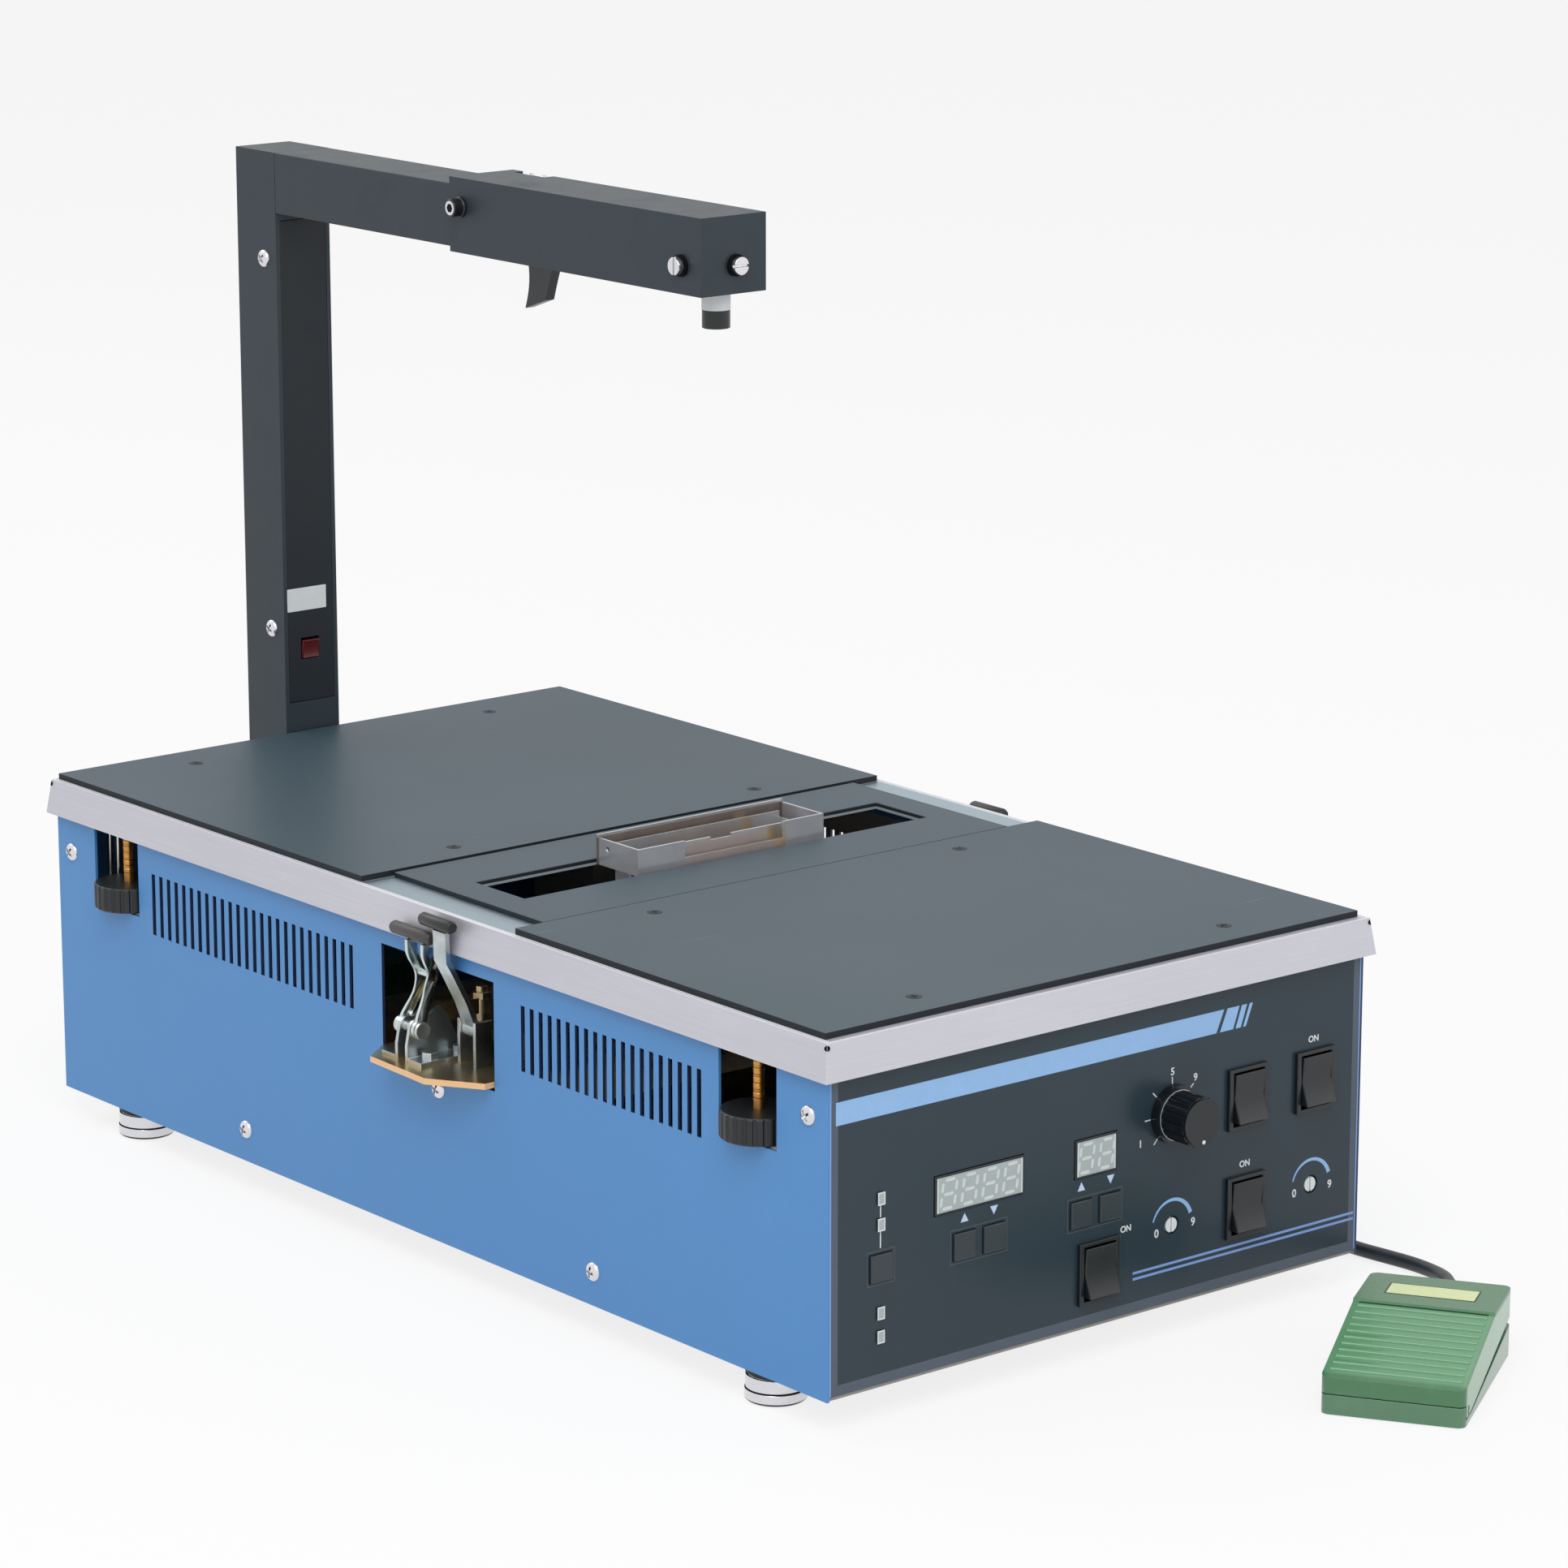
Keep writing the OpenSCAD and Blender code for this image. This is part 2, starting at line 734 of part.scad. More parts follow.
// Zinc carrier plate: the pot hangs in it, and its ears reach out through the side windows
module pot_tray() {
    z = [carrier_z - carrier_t, carrier_z];
    ear = [
        [leg_x, side_win_y0 + 1], [ear_x - 17, side_win_y0 + 1], [ear_x, -42], [ear_x - 2, 5],
        [ear_x - 18, side_win_y1 - 5.5], [leg_x, side_win_y1 - 5.5]
    ];
    color(zinc)
    placed()
    difference() {
        union() {
            block([-leg_x, leg_x], carrier_y, z);
            both_sides() translate([0, 0, z[0]]) linear_extrude(carrier_t) polygon(ear);
            both_sides() block([leg_x - 3, leg_x], carrier_y, [pan_top_z, carrier_z]);
            both_sides()
            block([inner_x - 3, inner_x], [carrier_screw_y - 12, carrier_screw_y + 12],
                [z[0] - 15, carrier_z]);
        }
        block([pot_x0 - 1, pot_x1 + 1], [pot_y0 - 1, pot_y1 + 1], [z[0] - 1, z[1] + 1]);
        rod_z(motor_r + 0.5, motor_x, motor_y, [z[0] - 1, z[1] + 1]);
        both_sides() clamp_bolt_spots() rod_z(pin_r + run_gap, 0, 0, [z[0] - 3, z[1] + 1]);
        side_screw_holes();
    }
}

// Solder pot with its hanging flange, the pump well at its left and three heaters
module pot() {
    well_x = [motor_x - casing_r - 5, pot_x0 + pot_wall];
    well_y = [motor_y - casing_r - 8, motor_y + casing_r + 8];
    color(rust)
    placed()
    difference() {
        union() {
            block([pot_x0, pot_x1], [pot_y0, pot_y1], [pot_z, pot_top_z]);
            block([pot_x0 - pot_flange_w, pot_x1 + pot_flange_w],
                [pot_y0 - pot_flange_w, pot_y1 + pot_flange_w], [carrier_z, pot_top_z]);
            block([-spindle_x - 9, spindle_x + 9], [clamp_y - 7, clamp_y + 7], [carrier_z, pot_top_z]);
            block(well_x, well_y, [pot_z, well_z1]);
            for (y = [pot_y0 + 16, pot_y1 - 16]) {
                rod_x(5, [pot_x1 - 1, pot_x1 + 14], y, floor_z + 12);
            }
        }
        difference() {
            block([pot_x0 + pot_wall, pot_x1 - pot_wall], [pot_y0 + pot_wall, pot_y1 - pot_wall],
                [floor_z, pot_top_z + 1]);
            for (y = [pot_y0 + 16, pot_y1 - 16]) {
                rod_x(5, [pot_x0 + 20, pot_x1], y, floor_z + 12);
            }
        }
        block([well_x[0] + pot_wall, pot_x0 + 2 * pot_wall], [well_y[0] + pot_wall, well_y[1] - pot_wall],
            [floor_z, well_z1 - 2]);
        rod_z(shaft_r + 2, motor_x, motor_y, [well_z1 - 3, well_z1 + 1]);
    }
}

// Pump casing, the channel along the pot's floor and the riser up to the nozzle
module pump_duct() {
    channel_y = [motor_y + 3, motor_y + 17];
    casing_z = [floor_z, floor_z + casing_h];
    color(steel)
    placed()
    difference() {
        union() {
            rod_z(casing_r, motor_x, motor_y, casing_z);
            block([motor_x, riser_x[0] + 6], channel_y, casing_z);
            block(riser_x, riser_y, [floor_z, riser_z]);
            block([riser_x[0] - 6, riser_x[1] + 6], [riser_y[0] - 5, riser_y[1] + 5],
                [riser_z - 3, riser_z]);
        }
        rod_z(casing_r - duct_t, motor_x, motor_y, [floor_z + duct_t, casing_z[1] - duct_t]);
        rod_z(shaft_r + 5, motor_x, motor_y, [floor_z + duct_t, casing_z[1] + 1]);
        block([motor_x + 6, riser_x[0] + 10], [channel_y[0] + duct_t, channel_y[1] - duct_t],
            [floor_z + duct_t, casing_z[1] - duct_t]);
        block([riser_x[0] + duct_t, riser_x[1] - duct_t], [riser_y[0] + duct_t, riser_y[1] - duct_t],
            [floor_z + duct_t, riser_z + 1]);
    }
}

module motor() {
    color(near_black)
    placed()
    difference() {
        union() {
            rod_z(motor_r, motor_x, motor_y, [motor_z0, motor_top_z - 2]);
            rod_z(motor_r - 2, motor_x, motor_y, [motor_top_z - 2, motor_top_z]);
            rod_z(motor_r + motor_flange_w, motor_x, motor_y, [carrier_z, carrier_z + 3]);
            rod_z(shaft_r + 5, motor_x, motor_y, [motor_z0 - 4, motor_z0]);
            rod_z(shaft_r + 3, motor_x, motor_y, [motor_top_z, motor_top_z + 2]);
        }
        rod_z(shaft_r + run_gap, motor_x, motor_y, [motor_z0 - 5, motor_z0 + 14]);
    }
}

module impeller() {
    wheel_z = floor_z + duct_t + 1;
    vane_z1 = floor_z + casing_h - duct_t - 1;
    color(silver)
    placed() {
        rod_z(shaft_r, motor_x, motor_y, [wheel_z, motor_z0 + 13]);
        rod_z(impeller_r, motor_x, motor_y, [wheel_z, wheel_z + 1.5]);
        rod_z(shaft_r + 2, motor_x, motor_y, [wheel_z, vane_z1]);
        translate([motor_x, motor_y, 0])
        for (i = [0:vanes - 1]) {
            rotate([0, 0, i * 360 / vanes])
            block([shaft_r, impeller_r - 0.5], [-0.8, 0.8], [wheel_z, vane_z1]);
        }
    }
}

// Folded stainless nozzle: weir duct on a seat flange inside an open overflow trough
module nozzle() {
    t = nozzle_t;
    trough_z = rim_z + mid_plate_t - 2.5;
    weir_x = [riser_x[0] + 3, riser_x[1] - 3];
    weir_y = [riser_y[0] + 3, riser_y[1] - 3];
    seat_z = riser_z;
    color(silver)
    placed() {
        difference() {
            union() {
                block([riser_x[0] - 6, riser_x[1] + 6], [riser_y[0] - 5, riser_y[1] + 5],
                    [seat_z, seat_z + 2]);
                block(weir_x, weir_y, [seat_z, nozzle_z - 4]);
                block([nozzle_x0, nozzle_x1], [nozzle_y0, nozzle_y1], [trough_z, trough_z + t]);
            }
            block([weir_x[0] + t, weir_x[1] - t], [weir_y[0] + t, weir_y[1] - t], [seat_z - 1, nozzle_z]);
            block([weir_x[0] - 1, weir_x[0] + 14], [weir_y[0] - 1, weir_y[1] - t], [nozzle_z - 7, nozzle_z]);
            block([weir_x[1] - 10, weir_x[1] + 1], [weir_y[0] - 1, weir_y[1] - t], [nozzle_z - 7, nozzle_z]);
            block([nozzle_x0 + 50, nozzle_x0 + 63], [weir_y[0] - 1, weir_y[0] + t + 1],
                [nozzle_z - 5.5, nozzle_z]);
        }
        block([nozzle_x0, nozzle_x1], [nozzle_y1 - t, nozzle_y1], [trough_z, nozzle_z]);
        difference() {
            block([nozzle_x0, nozzle_x0 + t], [nozzle_y0, nozzle_y1], [trough_z, nozzle_z - 1.5]);
            rod_x(1.4, [nozzle_x0 - 1, nozzle_x0 + t + 1], nozzle_y1 - 9, nozzle_z - 6);
        }
        block([nozzle_x1 - t, nozzle_x1], [nozzle_y0, nozzle_y1], [trough_z, nozzle_z - 1.5]);
        block([nozzle_x0, nozzle_x1], [nozzle_y0, nozzle_y0 + t], [trough_z, trough_z + 5]);
        block([nozzle_x0, nozzle_x0 + 29], [nozzle_y0, nozzle_y0 + t], [trough_z, nozzle_z - 1.5]);
        block([nozzle_x1 - 26, nozzle_x1], [nozzle_y0, nozzle_y0 + t], [trough_z, nozzle_z - 1.5]);
        block([nozzle_x0, nozzle_x0 + 9], [nozzle_y0 + 6, nozzle_y0 + 6 + t], [seat_z + 2, trough_z]);
        block([nozzle_x0, weir_x[0]], [nozzle_y0 + 6, nozzle_y0 + 12], [seat_z + 2, seat_z + 2 + t]);
    }
}

module electronics() {
    board_t = 1.6;
    wing_x = time_x + time_w / 2 + 17.1;
    board_y1 = board_y + board_t;
    board_z = [display_z - 64.7, display_z + 19.3];
    wing_z = [button_z - 10.4, board_z[1]];
    left_x = [lamp_x - 14, temp_x + temp_w / 2 + 25.35];
    post_in = 4;
    main_x = half_w - 65;
    main_y = [44.3 - half_d, 164.3 - half_d];
    main_z = pan_top_z + 8;
    main_top = main_z + board_t;
    supply_x = [40 - half_w, 130 - half_w];
    supply_y = [half_d - 139.3, half_d - 79.3];
    supply_h = 75;
    supply_coil_in = 13;
    color("#2f6b45")
    placed() {
        block(left_x, [board_y, board_y1], board_z);
        block([left_x[1] - 12, wing_x], [board_y, board_y1], wing_z);
        for (x = button_xs) {
            centred(x, button_z, 6, 6, [tact_y, board_y]);
        }
        for (x = [left_x[0] + post_in, left_x[1] - post_in - 6],
            z = [board_z[0] + post_in, board_z[1] - post_in]) {
            rod_y(2.5, x, [back_y, board_y], z);
        }
        rod_y(2.5, wing_x - post_in, [back_y, board_y], wing_z[0] + post_in);
        block([-main_x, main_x], main_y, [main_z, main_top]);
        for (x = [8 - main_x, main_x - 8], y = [main_y[0] + 8, main_y[1] - 8]) {
            rod_z(3, x, y, [pan_top_z, main_z]);
        }
        for (i = [0:3]) {
            rod_z(9, -main_x * 0.7 + i * 24, main_y[1] - 30, [main_top, main_top + 30]);
        }
        block([main_x - 60, main_x - 10], [main_y[0] + 20, main_y[0] + 40], [main_top, main_top + 36]);
        block(supply_x, supply_y, [pan_top_z, pan_top_z + supply_h]);
        block([supply_x[0] + supply_coil_in, supply_x[1] - supply_coil_in],
            [supply_y[0] - supply_coil_in, supply_y[1] + supply_coil_in],
            [pan_top_z + supply_coil_in, pan_top_z + supply_h - supply_coil_in]);
    }
}

module push_button(x) {
    color(near_black)
    placed() {
        centred(x, button_z, button_w, button_w, [face_y - 1.3, back_y + 1]);
        centred(x, button_z, button_w + 2.4, button_w + 2.4, [back_y + seat_gap, back_y + 2]);
        centred(x, button_z, 5, 5, [back_y + 2, tact_y - button_travel - seat_gap]);
    }
}

module button_temp_up() {
    push_button(temp_button_xs[0]);
}

module button_temp_down() {
    push_button(temp_button_xs[1]);
}

module button_time_up() {
    push_button(time_button_xs[0]);
}

module button_time_down() {
    push_button(time_button_xs[1]);
}

module button_mode() {
    push_button(mode_x);
}

// Rocker with a shallow V face, tilted about its pivot
module rocker(i) {
    half_h = (rocker_h - 6) / 2;
    w = rocker_w - 6.2;
    color(near_black)
    placed()
    translate([rockers[i][0], pivot_y, rockers[i][1]])
    rotate([-rocker_tilt, 0, 0])
    translate([-w / 2, 0, 0])
    rotate([90, 0, 90])
    linear_extrude(w)
    polygon([
        [-5.8, -half_h], [-3.4, 0], [-5.8, half_h], [0.6, half_h - 0.8], [2.1, 3],
        [2.1, -3], [0.6, 0.8 - half_h]
    ]);
}

module rocker_pump() {
    rocker(0);
}

module rocker_mode() {
    rocker(1);
}

module rocker_main() {
    rocker(2);
}

module rocker_standby() {
    rocker(3);
}

// Fluted knob with a skirt, on its own shaft
module flow_knob() {
    flutes = 16;
    front_y = face_y - flow_h;
    color(near_black)
    placed() {
        difference() {
            union() {
                rod_y(flow_r + 2, flow_x, [face_y - 4, face_y - seat_gap], flow_z);
                rod_y(flow_r, flow_x, [front_y + 1, face_y - 3], flow_z);
                rod_y(flow_r - 1, flow_x, [front_y, front_y + 2], flow_z);
            }
            for (i = [0:flutes - 1]) {
                rod_y(1, flow_x + (flow_r + 0.5) * cos(i * 360 / flutes), [front_y - 1, face_y - 4.5],
                    flow_z + (flow_r + 0.5) * sin(i * 360 / flutes));
            }
        }
        rod_y(shaft_r, flow_x, [face_y - 1, back_y + 9.7], flow_z);
    }
}

// Slotted trimmer shaft, level with the panel
module trimmer(i) {
    x = trimmers[i][0];
    z = trimmers[i][1];
    color(silver)
    placed()
    difference() {
        rod_y(trim_r, x, [face_y + 0.2, back_y + 9.7], z);
        centred(x, z, 1, 3 * trim_r, [face_y - 1, face_y + 1.4]);
    }
}

module speed_trimmer() {
    trimmer(0);
}

module level_trimmer() {
    trimmer(1);
}

// Upright box whose four walls lean, between a lower and an upper half size
module flared(low, high, z) {
    polyhedron(
        points = [
            [-low[0], -low[1], z[0]], [low[0], -low[1], z[0]],
            [low[0], low[1], z[0]], [-low[0], low[1], z[0]],
            [-high[0], -high[1], z[1]], [high[0], -high[1], z[1]],
            [high[0], high[1], z[1]], [-high[0], high[1], z[1]]
        ],
        faces = [[0, 1, 2, 3], [7, 6, 5, 4], [4, 5, 1, 0], [5, 6, 2, 1], [6, 7, 3, 2], [7, 4, 0, 3]]
    );
}

module table_frame() {
    low = [half_w + skirt_out, half_d + skirt_out];
    high = [half_w + skirt_top_out, half_d + skirt_top_out];
    wall = [sheet_t, sheet_t];
    z = [rim_z - skirt_h, rim_z];
    web_z = [rim_z - rim_t - 1, rim_z + 1];
    web_y = half_d - web_end_in;
    color(silver)
    placed()
    difference() {
        flared(low, high, z);
        difference() {
            flared(low - wall, high - wall, [z[0] - 0.01, z[1] + 0.01]);
            block([-half_w, half_w], [-half_d, half_d], [rim_z - rim_t, rim_z + 2]);
        }
        block([-web_x, web_x], [bar_rear_y[1], web_y], web_z);
        block([-web_x, web_x], [bar_front_y[1], bar_rear_y[0]], web_z);
        block([-web_x, web_x], [-web_y, bar_front_y[0]], web_z);
        plate_screw_spots() rod_z(screw_r + run_gap, 0, 0, web_z);
    }
}

module plate_screw_spots() {
    for (x = [-plate_screw_x, plate_screw_x], y = plate_screw_ys) {
        translate([x, y, 0]) children();
    }
}

// Countersunk head and shank, grown by a clearance for the hole it sits in
module plate_screw(gap) {
    top_z = rim_z + plate_t;
    sink = plate_screw_r - screw_r;
    rod_z(screw_r + gap, 0, 0, [rim_z - rim_t - 3, top_z]);
    translate([0, 0, top_z - sink - 0.3]) cylinder(r1 = screw_r + gap, r2 = plate_screw_r + gap, h = sink);
    rod_z(plate_screw_r + gap, 0, 0, [top_z - 0.3, top_z + (gap > 0 ? 1 : 0)]);
}

module plate_screws() {
    color(near_black) placed() plate_screw_spots() plate_screw(0);
}

module table_plate(half, y, t) {
    color(slate)
    placed()
    difference() {
        block([-half, half], y, [rim_z, rim_z + t]);
        if (t == plate_t) {
            plate_screw_spots() plate_screw(run_gap);
        }
        children();
    }
}

module plate_rear() {
    table_plate(plate_x, rear_plate_y, plate_t);
}

module plate_front() {
    table_plate(plate_x, front_plate_y, plate_t);
}

module plate_mid() {
    table_plate(mid_half_w, [seam_front_y, seam_rear_y], mid_plate_t)
    block([-slot_half, slot_half], [slot_front_y, slot_rear_y], [rim_z - 1, rim_z + mid_plate_t + 1]);
}

// Fluted levelling knob at the rear right, bored for its stud
module level_knob() {
    flutes = 24;
    color(near_black)
    translate([level_x, level_y, level_z])
    difference() {
        union() {
            cylinder(r1 = level_r - 0.8, r2 = level_r, h = 0.8);
            translate([0, 0, 0.8]) cylinder(r = level_r, h = level_h - 1.6);
            translate([0, 0, level_h - 0.8]) cylinder(r1 = level_r, r2 = level_r - 0.8, h = 0.8);
        }
        translate([0, 0, -1]) cylinder(r = stud_r + run_gap, h = level_h + 2);
        for (i = [0:flutes - 1]) {
            rotate([0, 0, i * 360 / flutes])
            translate([level_r + 0.7, 0, -1])
            cylinder(r = 1.3, h = level_h + 2);
        }
    }
}

module level_knob_rr() {
    placed() level_knob();
}

module level_knob_rl() {
    placed() mirror([1, 0, 0]) level_knob();
}

module level_knob_fr() {
    placed() mirror([0, 1, 0]) level_knob();
}

module level_knob_fl() {
    placed() mirror([1, 0, 0]) mirror([0, 1, 0]) level_knob();
}

// Two bolts through each base plate's foot
module clamp_bolt_spots() {
    for (x = [base_x[0] + 5.5, base_x[1] - 9], s = [-1, 1]) {
        translate([x, clamp_y + s * (base_y + clamp_t + 6), 0]) children();
    }
}

// Base of the right clamp: two riveted plates with turned-out feet, and the release lever's fork
module clamp_base() {
    foot_z = [carrier_z, carrier_z + clamp_t];
    outline = [
        [base_x[0], carrier_z], [base_x[1], carrier_z], [base_x[1], carrier_z + 8],
        [handle_x + 5, pivot_z], [arm_pivot_x, arm_pivot_z + 5], [arm_pivot_x - 5, arm_pivot_z]
    ];
    for (s = [-1, 1]) {
        inner = clamp_y + s * base_y;
        outer = clamp_y + s * (base_y + clamp_t);
        far = clamp_y + s * (base_y + clamp_t + 11);
        y = [min(inner, outer), max(inner, outer)];
        along_y(y) polygon(outline);
        rod_y(5, handle_x, y, pivot_z);
        block(base_x, [min(outer, far), max(outer, far)], foot_z);
        head_y = clamp_y + s * (base_y + 2 * clamp_t + 2 * seat_gap);
        rod_y(4.2, handle_x, [min(head_y, head_y + s * 1.8), max(head_y, head_y + s * 1.8)], pivot_z);
    }
    pin_end = base_y + 2 * clamp_t + 1;
    rod_y(pin_r, handle_x, [clamp_y - pin_end, clamp_y + pin_end], pivot_z);
    rod_y(pin_r, arm_pivot_x, [clamp_y - base_y - clamp_t, clamp_y + base_y + clamp_t], arm_pivot_z);
    clamp_bolt_spots() {
        translate([0, 0, foot_z[1]]) cylinder(r = 4.4, h = 3.5, $fn = 6);
        rod_z(pin_r, 0, 0, [carrier_z - carrier_t - 2, foot_z[1]]);
    }
    for (s = [-1, 1]) {
        fork = catch_y + s * (strap_w / 2 + seat_gap + clamp_t / 2);
        block([catch_x - 5, catch_x + 5], [fork - clamp_t / 2, fork + clamp_t / 2],
            [carrier_z, catch_z + 5]);
    }
    rod_y(pin_r - 0.5, catch_x, [catch_y - strap_w / 2 - clamp_t, catch_y + strap_w / 2 + clamp_t], catch_z);
}

module clamp_bases() {
    color(zinc) placed() both_sides() clamp_base();
}

// Outward place of the handle's middle line at a height: two smooth half waves
function handle_line(z) =
    z <= dip_z
    ? handle_x - handle_dip * (1 - cos(180 * (z - pivot_z) / (dip_z - pivot_z))) / 2
    : handle_x - handle_dip + handle_rise * (1 - cos(180 * min(1, (z - dip_z) / (grip_z - dip_z - 8)))) / 2;

// S-curved handle plate with a round eye at the pivot
module handle_plate(y) {
    steps = 14;
    zs = [for (i = [0:steps]) pivot_z + (handle_top_z - pivot_z) * i / steps];
    outline = concat(
        [for (z = zs) [handle_line(z) + handle_w / 2, z]],
        [for (i = [steps:-1:0]) [handle_line(zs[i]) - handle_w / 2, zs[i]]]
    );
    difference() {
        union() {
            along_y(y) polygon(outline);
            rod_y(handle_w / 2 + 1.6, handle_x, y, pivot_z);
        }
        rod_y(pin_r + run_gap, handle_x, [y[0] - 1, y[1] + 1], pivot_z);
    }
}

// Grip with rounded ends, lying along the housing
module grip(x, y, z, l) {
    round_l = grip_r * 0.5;
    translate([x, y - l / 2, z])
    rotate([-90, 0, 0]) {
        cylinder(r1 = grip_r - round_l / 2, r2 = grip_r, h = round_l);
        translate([0, 0, round_l]) cylinder(r = grip_r, h = l - 2 * round_l);
        translate([0, 0, l - round_l]) cylinder(r1 = grip_r, r2 = grip_r - round_l / 2, h = round_l);
    }
}

module clamp_handle() {
    gap = base_y + clamp_t + seat_gap;
    color(silver) {
        handle_plate([clamp_y - gap - clamp_t, clamp_y - gap]);
        handle_plate([clamp_y + gap, clamp_y + gap + clamp_t]);
        rod_y(2, handle_line(dip_z + 6), [clamp_y - gap, clamp_y + gap], dip_z + 6);
    }
    color(near_black) grip(grip_x, clamp_y - 4, grip_z, grip_l);
}

module clamp_handle_r() {
    placed() clamp_handle();
}

module clamp_handle_l() {
    placed() mirror([1, 0, 0]) clamp_handle();
}

// Pressing arm between the base plates, with its rubber-tipped spindle
module clamp_arm() {
    half = base_y - seat_gap;
    tip_z = pot_top_z + seat_gap;
    color(steel)
    difference() {
        union() {
            along_y([clamp_y - half, clamp_y + half])
            polygon([
                [arm_pivot_x + 5, arm_pivot_z - 4], [arm_pivot_x + 5, arm_pivot_z + 3],
                [arm_pivot_x - 4, arm_pivot_z + 5], [spindle_x - 6, arm_pivot_z + 3],
                [spindle_x - 6, arm_pivot_z - 4]
            ]);
            rod_z(4.5, spindle_x, clamp_y, [arm_pivot_z - 4, arm_pivot_z + 3]);
            rod_z(3, spindle_x, clamp_y, [tip_z + 3, arm_pivot_z + 9]);
            rod_z(5, spindle_x, clamp_y, [tip_z, tip_z + 3]);
            translate([spindle_x, clamp_y, arm_pivot_z + 3]) cylinder(r = 5, h = 3, $fn = 6);
        }
        rod_y(pin_r + run_gap, arm_pivot_x, [clamp_y - half - 1, clamp_y + half + 1], arm_pivot_z);
    }
}

module clamp_arm_r() {
    placed() clamp_arm();
}

module clamp_arm_l() {
    placed() mirror([1, 0, 0]) clamp_arm();
}

// Bent strap from the fork up to its own grip in front of the skirt
module release_lever() {
    line = [
        [catch_x + 2, catch_z + 2], [catch_x + 7, catch_z + 15], [grip_x - 5, catch_z + 29],
        [grip_x - 0.6, catch_z + 37], [grip_x, catch_z + 52]
    ];
    half = clamp_t * 0.6;
    y = [catch_y - strap_w / 2, catch_y + strap_w / 2];
    color(silver)
    difference() {
        union() {
            along_y(y)
            polygon(concat(
                [for (p = line) [p[0] + half, p[1] - half * 0.5]],
                [for (i = [len(line) - 1:-1:0]) [line[i][0] - half, line[i][1] + half * 0.5]]
            ));
            rod_y(4, catch_x, y, catch_z);
        }
        rod_y(pin_r - 0.5 + run_gap, catch_x, [y[0] - 1, y[1] + 1], catch_z);
    }
    color(near_black) grip(grip_x + 0.5, catch_y + 2, catch_z + 52 + grip_r, catch_grip_l);
}

module release_lever_r() {
    placed() release_lever();
}

module release_lever_l() {
    placed() mirror([1, 0, 0]) release_lever();
}

// Box column behind the housing, with the pocket for its front cover
module column() {
    x = column_w / 2;
    color(column_grey)
    placed()
    difference() {
        union() {
            block([-x, x], [column_y0, column_y1], [foot_h + 9, arm_top_z]);
            block([-x - 12, x + 12], [half_d, column_y0],
                [foot_h + 25, rim_z - skirt_h - table_travel - 12]);
        }
        block([tube_t - x, x - tube_t], [column_y0 + tube_t, column_y1 - tube_t],
            [foot_h + 9 + tube_t, arm_top_z - tube_t]);
        block([-cover_half() - run_gap, cover_half() + run_gap],
            [column_y0 - 1, column_y0 + tube_t + 1], cover_z);
        both_sides()
        for (z = column_screw_zs) {
            rod_x(screw_r + run_gap, [x - tube_t - 1, x + 1], column_y0 + 11.5, z);
        }
    }
}

function cover_half() = column_w / 2 - tube_t - 1;

module column_cover() {
    inner = column_w / 2 - tube_t - run_gap;
    color(column_grey)
    placed()
    difference() {
        union() {
            block([-cover_half(), cover_half()], [column_y0, column_y0 + tube_t],
                [cover_z[0] + run_gap, cover_z[1] - run_gap]);
            block([-inner, inner], [column_y0 + tube_t, column_y0 + 2 * tube_t],
                [cover_z[0] - 6, cover_z[1] + 2]);
        }
        centred(pilot_x, pilot_z, pilot_w + 2 * seat_gap, pilot_w + 2 * seat_gap,
            [column_y0 - 1, column_y0 + 4 * tube_t]);
    }
    color(column_grey)
    placed()
    difference() {
        centred(pilot_x, pilot_z, pilot_w + 4, pilot_w + 4, [column_y0 + 2 * tube_t, column_y0 + 12]);
        centred(pilot_x, pilot_z, pilot_w + 1.6, pilot_w + 1.6, [column_y0, column_y0 + 10.5]);
    }
}

// Small lensed rocker that switches the pointer
module pilot_switch() {
    half = pilot_w / 2;
    color("#7a2024")
    placed()
    translate([pilot_x - half + 0.2, column_y0 + pilot_pivot, pilot_z])
    rotate([pilot_tilt, 0, 0])
    rotate([90, 0, 90])
    linear_extrude(pilot_w - 0.4)
    polygon([
        [-6.2, 0.5 - half], [-5.4, 0], [-6.2, half - 0.5], [-1, half - 0.8],
        [4.6, 1], [4.6, -1], [-1, 0.8 - half]
    ]);
}

// Inner arm tube, butt-joined to the column, with guide pads at its tip and a slot below
module arm_inner() {
    x = arm_w / 2;
    pad_x = sleeve_w / 2 - tube_t - seat_gap;
    pad_z = sleeve_z1 - tube_t - seat_gap;
    pad_y = [arm_tip_y, arm_tip_y + 18];
    color(arm_grey)
    placed() {
        difference() {
            block([-x, x], [arm_tip_y, column_y0], [arm_z0, arm_top_z]);
            block([tube_t - x, x - tube_t], [arm_tip_y - 1, column_y0 - tube_t],
                [arm_z0 + tube_t, arm_top_z - tube_t]);
            block([-7, 7], [arm_tip_y - 1, sleeve_y1 + 26], [arm_z0 - 1, arm_z0 + 3]);
        }
        both_sides() block([x, pad_x], pad_y, [arm_z0 + 4, arm_top_z - 4]);
        block([-x + 3, x - 3], pad_y, [arm_top_z, pad_z]);
    }
}

